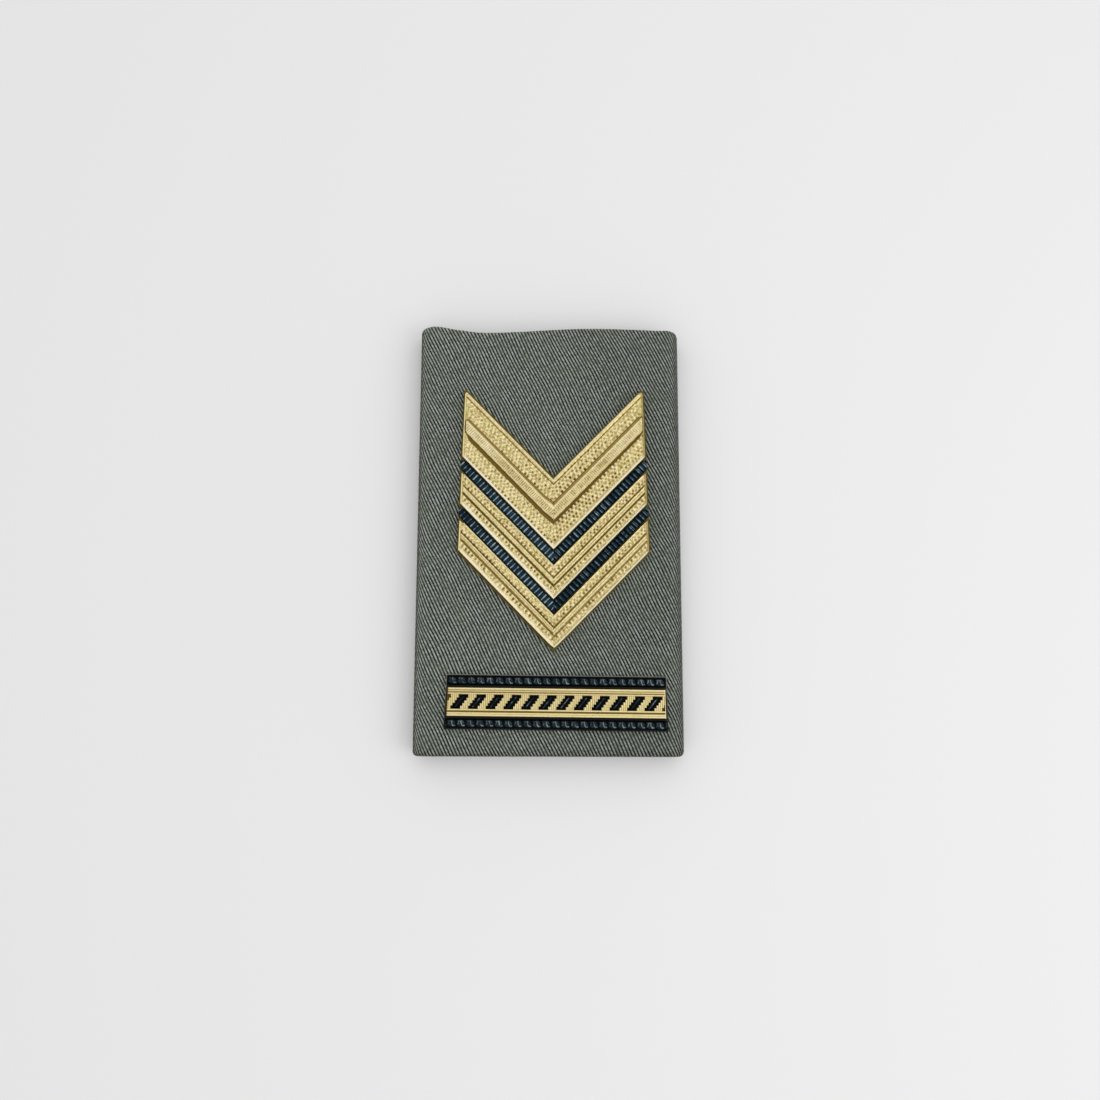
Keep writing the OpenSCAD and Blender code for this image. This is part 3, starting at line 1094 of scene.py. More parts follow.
@dataclass(frozen=True)
class ArmFrame:
    """Lines that run parallel to the V of the badge, and where they end.

    Distances across the arm are measured square to it from the top chevron's
    upper edge. The frame's origin is the notch of that edge.
    """

    arm_deg: float = 45.7
    tip_half: float = 20.6
    tip_y: float = 20.35
    flare: float = 0.0285
    notch_x: float = 1.08
    notch_y: float = 13.34 + CENTRE_Y
    turn_deg: float = 0.0
    back_z: float = BADGE_BACK

    @property
    def slope(self) -> float:
        """Rise of the arm for every millimetre sideways."""
        return math.tan(math.radians(self.arm_deg))

    @property
    def cosine(self) -> float:
        """Cosine of the arm's angle."""
        return math.cos(math.radians(self.arm_deg))

    def end_x(self, v: Array, inset: float, tip: float) -> Array:
        """Half width of the badge along a line.

        Args:
            v: Distance across the arm.
            inset: How far inside the badge's side the line ends.
            tip: Radius that rounds the upper tip, or 0.

        Returns:
            Distance of the line's end from the centre line.
        """
        vertex = -v / self.cosine
        straight = self.tip_half - inset - self.flare * (vertex - self.tip_y)
        straight = straight / (1 + self.flare * self.slope)
        if tip <= 0:
            return straight
        # The rounded tip is an arc that touches the upper edge and the side
        first = float(self.end_x(np.array(tip), inset + tip * math.hypot(1, self.flare), 0))
        rise = v - v.min()
        centre_u = self.along(np.array(first), np.array(tip + v.min()))
        arc_u = centre_u + np.sqrt(np.clip(tip**2 - (tip - rise) ** 2, 0, None))
        arc_x = (arc_u + v * self.slope) * self.cosine
        sine = math.sin(math.radians(self.arm_deg))
        touch = tip * (1 + (sine - self.flare * self.cosine) / math.hypot(1, self.flare))
        return np.where(rise < touch, arc_x, straight)

    def along(self, x: Array, v: Array) -> Array:
        """Distance along the arm of a place on the line v."""
        return x / self.cosine - v * self.slope

    def place(self, x: Array, v: Array, z: Array, nose: Array) -> Array:
        """Turns places on the arms into points of the slide.

        Args:
            x: Distance from the centre line, negative on the left arm.
            v: Distance across the arm.
            z: Height above the badge's back.
            nose: How much the line is rounded at the centre.

        Returns:
            Points in millimetres.
        """
        y = -v / self.cosine + np.sqrt(x**2 + nose**2) * self.slope
        return self.turned(x, y, z)

    def turned(self, x: Array, y: Array, z: Array) -> Array:
        """Turns the badge's own places into points of the slide.

        Args:
            x: Distance from the badge's centre line.
            y: Distance above its notch.
            z: Height above its back.

        Returns:
            Points in millimetres.
        """
        a = math.radians(self.turn_deg)
        px = self.notch_x + x * math.cos(a) - y * math.sin(a)
        py = self.notch_y + x * math.sin(a) + y * math.cos(a)
        return np.stack([px, py, z + self.back_z], axis=-1)


@dataclass(frozen=True)
class Spots:
    """Places on one arm of a strip, as arrays of the same shape."""

    arm: Arm
    along: Array
    down: Array
    from_side: Array
    from_middle: Array


@dataclass
class VStrip:
    """A strip that runs down one arm of the V and up the other, as one closed solid."""

    layout: ArmFrame
    start: float
    width: float
    floor: float
    inset: float = 0.0
    tip: float = 0.0
    nose: float = 0.0
    step_across: float = 0.095
    step_along: float = 0.095

    def relief(self, spots: Spots) -> tuple[Array, dict[str, Array]]:
        """Height and finish of the strip's face.

        Args:
            spots: Places on one arm.

        Returns:
            Heights above the badge's back, and the fields that the finish reads.
        """
        raise NotImplementedError

    def build(self, name: str, material: Material, slot: Slot) -> Object:
        """Makes the strip.

        Args:
            name: Name of the piece.
            material: Its finish.
            slot: The record's slot; not used.

        Returns:
            The strip as a closed mesh.
        """
        across = np.linspace(0, self.width, max(6, round(self.width / self.step_across)) + 1)
        v = self.start + across
        end = self.layout.end_x(v, self.inset, self.tip)
        half = round(float(end.max()) / self.layout.cosine / self.step_along)
        share = np.linspace(-1, 1, 2 * half + 1)
        x = share[None, :] * end[:, None]
        down = np.broadcast_to(across[:, None], x.shape)
        v_grid = down + self.start
        u = self.layout.along(np.abs(x), v_grid)
        from_side = end[:, None] - np.abs(x)
        reliefs = []
        for arm, part in ((Arm.LEFT, slice(0, half)), (Arm.RIGHT, slice(half, None))):
            cut = (slice(None), part)
            reliefs.append(self.relief(Spots(arm, u[cut], down[cut], from_side[cut], np.abs(x[cut]))))
        height = np.hstack([made[0] for made in reliefs])
        fields = {key: np.hstack([made[1][key] for made in reliefs]) for key in reliefs[0][1]}
        nose = self.nose * smooth_step(self.width - 1.2, self.width, across)
        nose_grid = np.broadcast_to(nose[:, None], x.shape)
        top = self.layout.place(x, v_grid, height, nose_grid)
        ends = [0, -1]
        flat = np.full((2, x.shape[1]), self.floor)
        under = self.layout.place(x[ends], v_grid[ends], flat, nose_grid[ends])
        return make_ridge(name, top, under, fields, material)


def line_from(v: Array, centre: float, half: float) -> Array:
    """A soft line of value 1 with flat middle, round a centre.

    Args:
        v: Places.
        centre: Middle of the line.
        half: Half width at which it has fallen to a half.

    Returns:
        Values from 0 to 1.
    """
    return 1 - smooth_step(0.6 * half, 1.4 * half, np.abs(v - centre))


def stroke(
    x: Array, y: Array, head: tuple[float, float], foot: tuple[float, float], half: float
) -> Array:
    """A soft mark along a straight stroke.

    Args:
        x: Places across.
        y: Places down.
        head: Start of the stroke.
        foot: End of the stroke.
        half: Half width of the mark.

    Returns:
        Values from 0 to 1 on the stroke.
    """
    run_x, run_y = foot[0] - head[0], foot[1] - head[1]
    share = ((x - head[0]) * run_x + (y - head[1]) * run_y) / (run_x**2 + run_y**2)
    share = np.clip(share, 0, 1)
    distance = np.hypot(x - head[0] - share * run_x, y - head[1] - share * run_y)
    return np.exp(-((distance / half) ** 2))


@dataclass
class GiltChevron(VStrip):
    """One chevron of the badge, with rims, rows of pits and struck lines."""

    place_name: Place = Place.TOP
    shoulder: float = 0.9
    rim_height: float = 1.6
    field_height: float = 1.5
    groove_height: float = 1.12
    crown_height: float = 1.9
    pit_depth: float = 0.26
    bead_height: float = 0.07
    upper_rim: float = 0.85
    narrow_upper_rim: float = 0.36
    # Painted shade on the walls at the edges
    wall_shade: float = 0.9

    # The rim along the badge's side: painted highlight on the left, painted shade on the right
    side_rim: float = 0.38
    side_highlight: float = 0.25
    side_shade: float = 0.32
    side_line: float = 0.3
    lower_bevels: tuple[float, float] = (0.1, 0.03)

    # The raised band, with its fine ribs and the notches that they leave in its lower edge
    rib_pitch: float = 0.5
    rib_depth: float = 0.11
    faintest_rib: float = 0.45
    notch: float = 0.04
    slow_notch: float = 0.02
    slow_length: float = 2.3
    join_length: float = 2.5
    # Painted shade in the groove below the band
    lower_dark: float = 0.68

    # Tones of the band: warm in the middle of the arm, pale towards its tip, gritty all over, with painted
    # shade between the ribs and painted highlight on the band and on the ribs' crests
    warm_from: float = 1.5
    warm_length: float = 14.0
    pale_from: float = 10.0
    pale_to: float = 15.0
    most_pale: float = 0.4
    band_dirt: float = 0.05
    rib_shade: float = 0.5
    grit_dirt: float = 0.16
    grit_size: tuple[float, float] = (0.27, 0.3)
    band_base_highlight: float = 0.2
    band_crest_highlight: float = 0.3
    most_band_highlight: float = 0.45

    # The lower chevrons' double line, with a groove above it and below it, painted highlight on the lines
    # and painted shade between them
    groove_depths: tuple[float, float] = (0.34, 0.4)
    ridge_height: float = 0.16
    ridge_half: float = 0.2
    ridge_highlight: float = 0.14
    ridge_gap_half: float = 0.08
    ridge_gap_dark: float = 0.35

    # Small marks of the die's tool, bright in some places and dull in others
    mark_size: tuple[float, float] = (0.29, 0.22)
    mark_polish: float = 0.42
    mark_dirt: float = 0.34
    dull_limits: tuple[float, float] = (0.12, 0.4)
    bright_limits: tuple[float, float] = (0.5, 0.85)

    # Slow waves in how strong the pits are: lengths along, across and along the arm, mean and swing
    swell_lengths: tuple[float, float, float] = (9.3, 7.1, 5.7)
    swell_mean: float = 0.84
    swell_swing: float = 0.16
    # Wear of the top chevron's pits: strength at the V, loss at the tips, and where that comes in
    tip_wear: tuple[float, float, float, float] = (1.15, 0.45, 9, 17)

    @property
    def top(self) -> bool:
        """Whether this is the wide top chevron."""
        return self.place_name is Place.TOP

    def lines(self, arm: Arm) -> WideLines | NarrowLines:
        """Where the lines of this chevron lie on an arm."""
        return WIDE_LINES[arm] if self.top else NARROW_LINES[self.place_name, arm]

    def relief(self, spots: Spots) -> tuple[Array, dict[str, Array]]:
        """Height, cavity and polish of the chevron's face.

        Args:
            spots: Places on one arm.

        Returns:
            Heights, and the fields cavity and polish.
        """
        lines = self.lines(spots.arm)
        left = spots.arm is Arm.LEFT
        height, cavity, polish_and_highlight = self._wide(spots, lines) if self.top else self._narrow(spots, lines)
        side = 1 - smooth_step(self.side_rim - 0.12, self.side_rim + 0.12, spots.from_side)
        height = height * (1 - side) + self.rim_height * side
        side_line = self.side_line * line_from(spots.from_side, self.side_rim + 0.1, 0.1)
        # The side rim gets painted shade on the right arm and a painted highlight on the left arm
        side_shade = 0.0 if left else self.side_shade
        cavity = np.maximum(cavity * (1 - side) + side_shade * side, side_line)
        polish_and_highlight = polish_and_highlight * (1 - side) + self.side_highlight * side * left
        # Upper and lower walls, and the wall at the side, all with painted shade
        below = self.width - lines.trim - spots.down
        lower_bevel = self.lower_bevels[0 if left else 1]
        wall = smooth_step(-0.02, lines.upper_bevel, spots.down) * smooth_step(-0.04, lower_bevel, below)
        wall = wall * smooth_step(-0.02, 0.1, spots.from_side)
        height = self.shoulder + (height - self.shoulder) * wall
        cavity = np.clip(cavity + self.wall_shade * (1 - wall), 0, 1)
        return height, {"cavity": cavity, "polish_and_highlight": np.clip(polish_and_highlight * wall, 0, 1)}

    def _field(self, spots: Spots, rows: tuple[PitRow, ...]) -> tuple[Array, Array]:
        """All pits and beads of an arm, fainter in some stretches than in others.

        Args:
            spots: Places on one arm.
            rows: The rows of pits.

        Returns:
            How deep in a pit and how high on a bead each place is, from 0 to 1.
        """
        u, v = spots.along, spots.down
        pits, beads = np.zeros_like(u), np.zeros_like(u)
        for row in rows:
            pits = np.maximum(pits, row.pits(u, v))
            beads = np.maximum(beads, row.raised(u, v))
        first, across, second = self.swell_lengths
        swell = np.sin(math.tau * (u / first + v / across + self.start)) * np.cos(math.tau * u / second)
        drift = self.swell_mean + self.swell_swing * swell
        if self.top:
            strength, loss, worn_from, worn_to = self.tip_wear
            drift = drift * (strength - loss * smooth_step(worn_from, worn_to, u))
        pits = np.clip(pits * drift, 0, 1)
        return pits, np.clip(beads * drift, 0, 1) * (1 - pits)

    def _rims(self, v: Array, lower_rim: float) -> tuple[Array, Array]:
        """The plain rims along both long edges.

        Args:
            v: Distance across the arm.
            lower_rim: Width of the lower rim.

        Returns:
            Masks of the upper and of the lower rim.
        """
        upper = self.upper_rim if self.top else self.narrow_upper_rim
        first = 1 - smooth_step(upper - 0.08, upper + 0.06, v)
        last = smooth_step(self.width - lower_rim - 0.1, self.width - lower_rim + 0.06, v)
        return first, last

    def _with_rims(
        self,
        spots: Spots,
        lines: ArmLines,
        face: tuple[Array, Array, Array],
        rough: Array,
    ) -> tuple[Array, Array, Array]:
        """Lays the plain rims, with their painted shade and painted highlights, and the tool's small marks
        over a face.

        Args:
            spots: Places on one arm.
            lines: Where the chevron's lines lie on this arm.
            face: Heights, cavity and polish between the rims.
            rough: How much of the dull marks each place keeps.

        Returns:
            Heights, cavity and polish.
        """
        height, cavity, polish_and_highlight = face
        first, last = self._rims(spots.down, lines.lower_rim)
        plain = (1 - first) * (1 - last)
        height = height * plain + self.rim_height * (1 - plain)
        # Painted shade on the rims
        cavity = cavity * plain + lines.rim_shade * (1 - plain)
        value = scatter(*(np.round(x / size) for x, size in zip((spots.along, spots.down), self.mark_size)))
        dull = self.mark_dirt * (1 - smooth_step(*self.dull_limits, value))
        bright = self.mark_polish * smooth_step(*self.bright_limits, value)
        cavity = np.maximum(cavity, dull * plain * rough)
        # Painted highlights on the upper and the lower rim
        return height, cavity, lines.upper_highlight * first + lines.lower_highlight * last + polish_and_highlight + bright

    def _wide(self, spots: Spots, lines: WideLines) -> tuple[Array, Array, Array]:
        """The top chevron: two pit fields with a raised ribbed band between them.

        Args:
            spots: Places on one arm.
            lines: Where its lines lie on this arm.

        Returns:
            Heights, cavity and polish.
        """
        # Painted highlight on the beads
        bead_highlight, rim_line_half = 0.9, 0.12
        narrowest, palest = 0.3, 0.35
        pits, beads = self._field(spots, lines.rows)
        height = self.field_height - self.pit_depth * pits + self.bead_height * beads
        inside, below = self._band_outline(spots, lines)
        on_band = smooth_step(-0.08, 0.1, inside)
        # Both grooves have their own width, and a thin line joins them round the end
        at_end = smooth_step(0.1, 0.9, spots.from_side - lines.band_end)
        room = 2 * np.where(below, lines.lower_half, lines.upper_half) * at_least(narrowest, at_end)
        groove = smooth_step(-room - 0.12, -room + 0.06, inside) * (1 - smooth_step(-0.1, 0.06, inside))
        # Painted shade in the grooves, each arm and groove with its own darkness
        groove_dark = np.where(below, self.lower_dark, lines.upper_dark) * at_least(palest, at_end)
        height = height * (1 - groove) + self.groove_height * groove
        # Painted shade in the pits and the grooves
        cavity = np.maximum(pits * (1 - on_band), groove * groove_dark)
        crown, dirt_and_shade, gloss = self._band_face(spots, lines, inside, below)
        height = height * (1 - on_band) + crown * on_band
        cavity = np.maximum(cavity, dirt_and_shade * on_band)
        rim_line = lines.rim_line * line_from(spots.down, lines.rows[0].at, rim_line_half)
        cavity = np.maximum(cavity, rim_line)
        first, last = self._rims(spots.down, lines.lower_rim)
        # Painted highlight on the band and on the beads
        sheen = (gloss * on_band + bead_highlight * beads * (1 - on_band)) * (1 - first) * (1 - last)
        return self._with_rims(spots, lines, (height, cavity, sheen), 1 - on_band)

    def _band_outline(self, spots: Spots, lines: WideLines) -> tuple[Array, Array]:
        """The outline of the raised band.

        Args:
            spots: Places on one arm.
            lines: Where the chevron's lines lie on this arm.

        Returns:
            Depth inside the outline, negative outside, and whether a place is on the lower half.
        """
        other = WIDE_LINES[Arm.RIGHT]
        u, v = spots.along, spots.down
        # The left arm's lines run into the right arm's at the point of the V
        away = smooth_step(0, self.join_length, spots.from_middle)
        upper_line = other.upper_groove + (lines.upper_groove - other.upper_groove) * away
        lower_line = other.lower_groove + (lines.lower_groove - other.lower_groove) * away
        notch = self.notch * np.cos(math.tau * u / self.rib_pitch)
        notch = notch + self.slow_notch * np.sin(math.tau * u / self.slow_length)
        edges = np.minimum(v - upper_line - lines.upper_half, lower_line - lines.lower_half - v + notch)
        inside = self._rounded(edges, spots.from_side - lines.band_end, lines.band_corner)
        return inside, v > (upper_line + lower_line) / 2

    def _band_face(
        self, spots: Spots, lines: WideLines, inside: Array, below: Array
    ) -> tuple[Array, Array, Array]:
        """The face of the raised band, with its fine ribs.

        Args:
            spots: Places on one arm.
            lines: Where the chevron's lines lie on this arm.
            inside: Depth inside the band's outline.
            below: Whether a place is on the band's lower half.

        Returns:
            Heights, cavity and polish.
        """
        u, v = spots.along, spots.down
        number = np.round(u / self.rib_pitch)
        uneven = at_least(self.faintest_rib, scatter(number, np.full_like(number, spots.arm.value + 3)))
        wave = 0.5 - 0.5 * np.cos(math.tau * u / self.rib_pitch)
        ribbed = smooth_step(lines.ribs_from - 0.08, lines.ribs_from + 0.12, v)
        ribbed = ribbed * (1 - smooth_step(lines.ribs_to - 0.15, lines.ribs_to + 0.1, v))
        ribs = wave * uneven * ribbed * smooth_step(0.15, 0.4, inside)
        crown = self.crown_height - lines.edge_drop * (1 - smooth_step(0, 0.5, inside))
        height = crown - self.rib_depth * ribs
        half_turn = math.pi * np.clip((u - self.warm_from) / self.warm_length, 0, 1)
        warmth = lines.band_warmth * ribbed * np.sin(half_turn)
        pale = self.most_pale * smooth_step(self.pale_from, self.pale_to, u)
        size_u, size_v = self.grit_size
        grit = scatter(np.round(u / size_u), np.round(v / size_v), np.full_like(u, 7))
        grit = self.grit_dirt * smooth_step(0.4, 0.9, grit) * ribbed
        # Painted shade between the ribs
        rib_shade = (self.rib_shade - warmth - 0.4 * pale) * ribs * (1 - 2 * warmth)
        dirt_and_shade = self.band_dirt * (1 - pale) + warmth + rib_shade + grit
        # Painted shade on the band's lower edge
        edge = lines.band_edge_shade * below * (1 - smooth_step(0.2, 0.75, inside))
        # Painted highlight on the ribs' crests and on the band
        crests = (self.band_crest_highlight + pale) * ribbed * (1 - wave) * smooth_step(0.1, 0.3, inside)
        gloss = self.band_base_highlight + warmth + crests + lines.plain_band_highlight * (1 - ribbed)
        return height, np.maximum(dirt_and_shade, edge), np.minimum(gloss, self.most_band_highlight + 0.5 * pale)

    @staticmethod
    def _rounded(a: Array, b: Array, corner: float) -> Array:
        """Depth inside a shape with rounded corners, from the depths inside its edges.

        Args:
            a: Depth inside the long edges.
            b: Depth inside the end.
            corner: Radius of the corners.

        Returns:
            The depth, negative outside.
        """
        rounded = corner - np.hypot(np.clip(corner - a, 0, None), np.clip(corner - b, 0, None))
        return np.where((a < corner) & (b < corner), rounded, np.minimum(a, b))

    def _narrow(self, spots: Spots, lines: NarrowLines) -> tuple[Array, Array, Array]:
        """A lower chevron: rows of pits with a raised double line between them.

        Args:
            spots: Places on one arm.
            lines: Where its lines lie on this arm.

        Returns:
            Heights, cavity and polish.
        """
        # Painted highlight on the beads
        bead_highlight = 0.95
        v = spots.down
        pits, beads = self._field(spots, lines.rows)
        height = self.field_height - self.pit_depth * pits + self.bead_height * beads
        # Painted shade in the pits
        cavity = pits
        run = smooth_step(0.4, 0.7, spots.from_side)
        grooves = (
            (lines.upper_groove, lines.upper_half, lines.upper_dark),
            (lines.lower_groove, lines.lower_half, lines.lower_dark),
        )
        # Painted shade in the two grooves
        for (centre, half, dark), depth in zip(grooves, self.groove_depths):
            groove = line_from(v, centre, half) * run
            height = height - depth * groove
            cavity = np.maximum(cavity, dark * groove)
        ridges = sum(line_from(v, ridge, self.ridge_half) for ridge in lines.ridges)
        height = height + self.ridge_height * ridges * run
        # Painted shade between the two lines
        between = line_from(v, sum(lines.ridges) / 2, self.ridge_gap_half) * run
        cavity = np.maximum(cavity, self.ridge_gap_dark * between)
        # Painted highlight on the two lines and on the beads
        polish_and_highlight = self.ridge_highlight * ridges * run + bead_highlight * beads
        return self._with_rims(spots, lines, (height, cavity, polish_and_highlight), 1 - np.clip(ridges, 0, 1))


@dataclass
class BlackBand(VStrip):
    """The ribbed black band in the channel between two chevrons.

    Places and spreads on its ribs are shares of the distance from one rib to the next.
    """

    # On the left arm, then on the right one
    rib_pitch: tuple[float, float] = (1.124, 1.142)
    rib_start: tuple[float, float] = (0.26, 0.99)
    # Strength of the painted highlight on each arm
    light: tuple[float, float] = (1.12, 0.96)
    step_across: float = 0.065
    step_along: float = 0.065
    low_height: float = 1.1
    high_height: float = 1.42
    edge: float = 0.12
    lowest_edge: float = 0.55
    jitter: float = 0.16
    blotch_mm: float = 0.5
    faintest_rib: float = 0.6
    blotches: tuple[float, float] = (0.8, 0.4)

    # The left arm's sharp rib and the faint one half way to the next: place, spread, height or painted
    # highlight
    sharp_height: Table = ((0, 0.13, 1.0), (0.5, 0.1, 0.22))
    sharp_light: Table = ((0, 0.15, 1.7), (0.45, 0.16, 0.34))
    faintest_end: float = 0.55
    faint_to: tuple[float, float] = (1, 6)

    # The right arm's broad rib: its flank, and the painted highlight on its fine strands and in the gaps
    broad_flank: tuple[float, float] = (0.2, 0.4)
    strands_per_rib: float = 2.3
    strand_light: tuple[float, float] = (0.18, 0.72)
    gap_light: float = 0.12

    # How far from the upper and lower edge, and from the upper edge alone, the painted highlight comes in
    edge_fade: tuple[float, float] = (0.02, 0.25)
    upper_fade: tuple[float, float] = (0.06, 0.4)

    def relief(self, spots: Spots) -> tuple[Array, dict[str, Array]]:
        """Height and painted highlight of the band's face: narrow ribs on the left, broad on the right.

        Args:
            spots: Places on one arm.

        Returns:
            Heights, and the field of painted highlight on the crests.
        """
        arm = 0 if spots.arm is Arm.LEFT else 1
        turns = (spots.along - self.rib_start[arm]) / self.rib_pitch[arm]
        number = np.round(turns)
        key = np.full_like(number, round(self.start) + 7 * arm)
        off = turns - number + self.jitter * (scatter(number, key + 5) - 0.5)
        blotch = scatter(number, np.round(spots.down / self.blotch_mm), key)
        least, more = self.blotches
        uneven = at_least(self.faintest_rib, scatter(number, key)) * (least + more * blotch)
        away = np.abs(off)
        if spots.arm is Arm.LEFT:
            rib = sum(size * bump_at(away, at, spread) for at, spread, size in self.sharp_height)
            sharp, faint = (size * bump_at(away, at, spread) for at, spread, size in self.sharp_light)
            fade = at_least(self.faintest_end, smooth_step(*self.faint_to, spots.from_side))
            tone = (sharp * uneven + faint) * fade
        else:
            rib = 1 - smooth_step(*self.broad_flank, away)
            turn = off * self.strands_per_rib + 0.5 * scatter(number, key + 9)
            strands = 0.5 + 0.5 * np.cos(math.tau * turn)
            least, more = self.strand_light
            tone = at_least(self.gap_light, rib) * (least + more * strands) * uneven
        margin = np.minimum(spots.down, self.width - spots.down)
        wall = smooth_step(0, self.edge, margin) * smooth_step(0, 0.15, spots.from_side)
        height = self.low_height + (self.high_height - self.low_height) * rib
        height = self.floor + (height - self.floor) * at_least(self.lowest_edge, wall)
        # Painted highlight on the ribs
        crest_highlight = self.light[arm] * tone * smooth_step(*self.edge_fade, margin)
        crest_highlight = crest_highlight * smooth_step(*self.upper_fade, spots.down)
        return height, {"crest_highlight": np.clip(crest_highlight, 0, 1)}


@dataclass
class ChevronBadge:
    """The struck badge: its back plate with posts, three chevrons and two bands."""

    arm: ArmFrame
    wide: float = 11.53
    narrow: float = 5.55
    channel: float = 2.34
    margin: float = 0.3
    relief_from: float = 0.4
    tip: float = 0.55
    corner: float = 0.2
    nose: float = 0.4
    base_nose: float = 0.2
    nose_reach: float = 1.2
    tip_reach: float = 1.0
    band_clear: float = 0.16
    band_floor: float = 0.65
    band_overhang: float = 0.2
    post_places: Table = ((0, -20), (13.2, -3.5), (-13.2, -3.5))

    # Loops of the back plate: stands in from its edge, height
    plate_loops: Table = ((0.06, 0.0), (0.0, 0.06), (0.0, 0.48), (0.12, 0.6))

    @property
    def depth(self) -> float:
        """Distance across all three chevrons, square to the arm."""
        return self.wide + 2 * self.narrow + 2 * self.channel

    def build(self, gilt: Material, dark: Material, enamel: Material) -> list[Object]:
        """Makes every piece of the badge.

        Args:
            gilt: The gilt material.
            dark: The back plate's brass, darkened as painted shade.
            enamel: The black enamel.

        Returns:
            The pieces.
        """
        starts = (0.0, self.wide + self.channel, self.wide + self.narrow + 2 * self.channel)
        widths = (self.wide, self.narrow, self.narrow)
        pieces = [self._plate(dark)]
        for place, start, width in zip(Place, starts, widths):
            chevron = GiltChevron(
                layout=self.arm,
                start=start,
                width=width,
                floor=self.relief_from,
                tip=self.tip if place is Place.TOP else self.corner,
                nose=self.nose if place is Place.LOWER else 0.0,
                place_name=place,
            )
            pieces.append(chevron.build(f"chevron_{place.value}", gilt, Slot.GILT))
        lower = {"rib_pitch": (1.1, 1.134), "rib_start": (0.74, 0.84), "light": (1.0, 0.82)}
        for name, own, start in (("upper", {}, starts[1]), ("lower", lower, starts[2])):
            band = BlackBand(
                **own,
                layout=self.arm,
                start=start - self.channel + self.band_clear,
                width=self.channel - 2 * self.band_clear,
                floor=self.band_floor,
                inset=-self.band_overhang,
                tip=self.corner,
            )
            piece = band.build(f"black_band_{name}", enamel, Slot.BLACK)
            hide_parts(f"chevron_band_{name}")
            pieces.append(piece)
        return pieces

    def _plate(self, brass: Material) -> Object:
        """Makes the back plate with its three posts.

        Args:
            brass: Its finish.

        Returns:
            The plate.
        """
        loops = []
        for inset, z in self.plate_loops:
            x, y = self._outline(self.margin - inset)
            loops.append(self.arm.turned(x, y, np.full_like(x, z)))
        places = np.array(self.post_places, float)
        posts = list(self.arm.turned(places[:, 0], places[:, 1], np.zeros(len(places))))
        plate = make_plate("gilt_plate", np.stack(loops), np.zeros(0), posts, brass)
        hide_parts("chevron_badge")
        return plate

    def _outline(self, margin: float) -> tuple[Array, Array]:
        """The plate's outline, anticlockwise from the notch.

        Args:
            margin: How far the plate stands out round the chevrons.

        Returns:
            Places across and up.
        """
        first, last = -margin, self.depth + margin
        v = np.append(np.linspace(first, first + self.tip_reach, 9), last)
        right_x = self.arm.end_x(v, -margin, self.tip)
        right_y = -v / self.arm.cosine + right_x * self.arm.slope
        nose_x = np.linspace(self.nose_reach, 0, 7)
        nose_y = -last / self.arm.cosine + np.hypot(nose_x, self.base_nose) * self.arm.slope
        half_x = np.concatenate([right_x[::-1], [0.0]])
        half_y = np.concatenate([right_y[::-1], [-first / self.arm.cosine]])
        x = np.concatenate([nose_x[::-1], half_x, -half_x[-2::-1], -nose_x[:-1]])
        y = np.concatenate([nose_y[::-1], half_y, half_y[-2::-1], nose_y[:-1]])
        return x, y


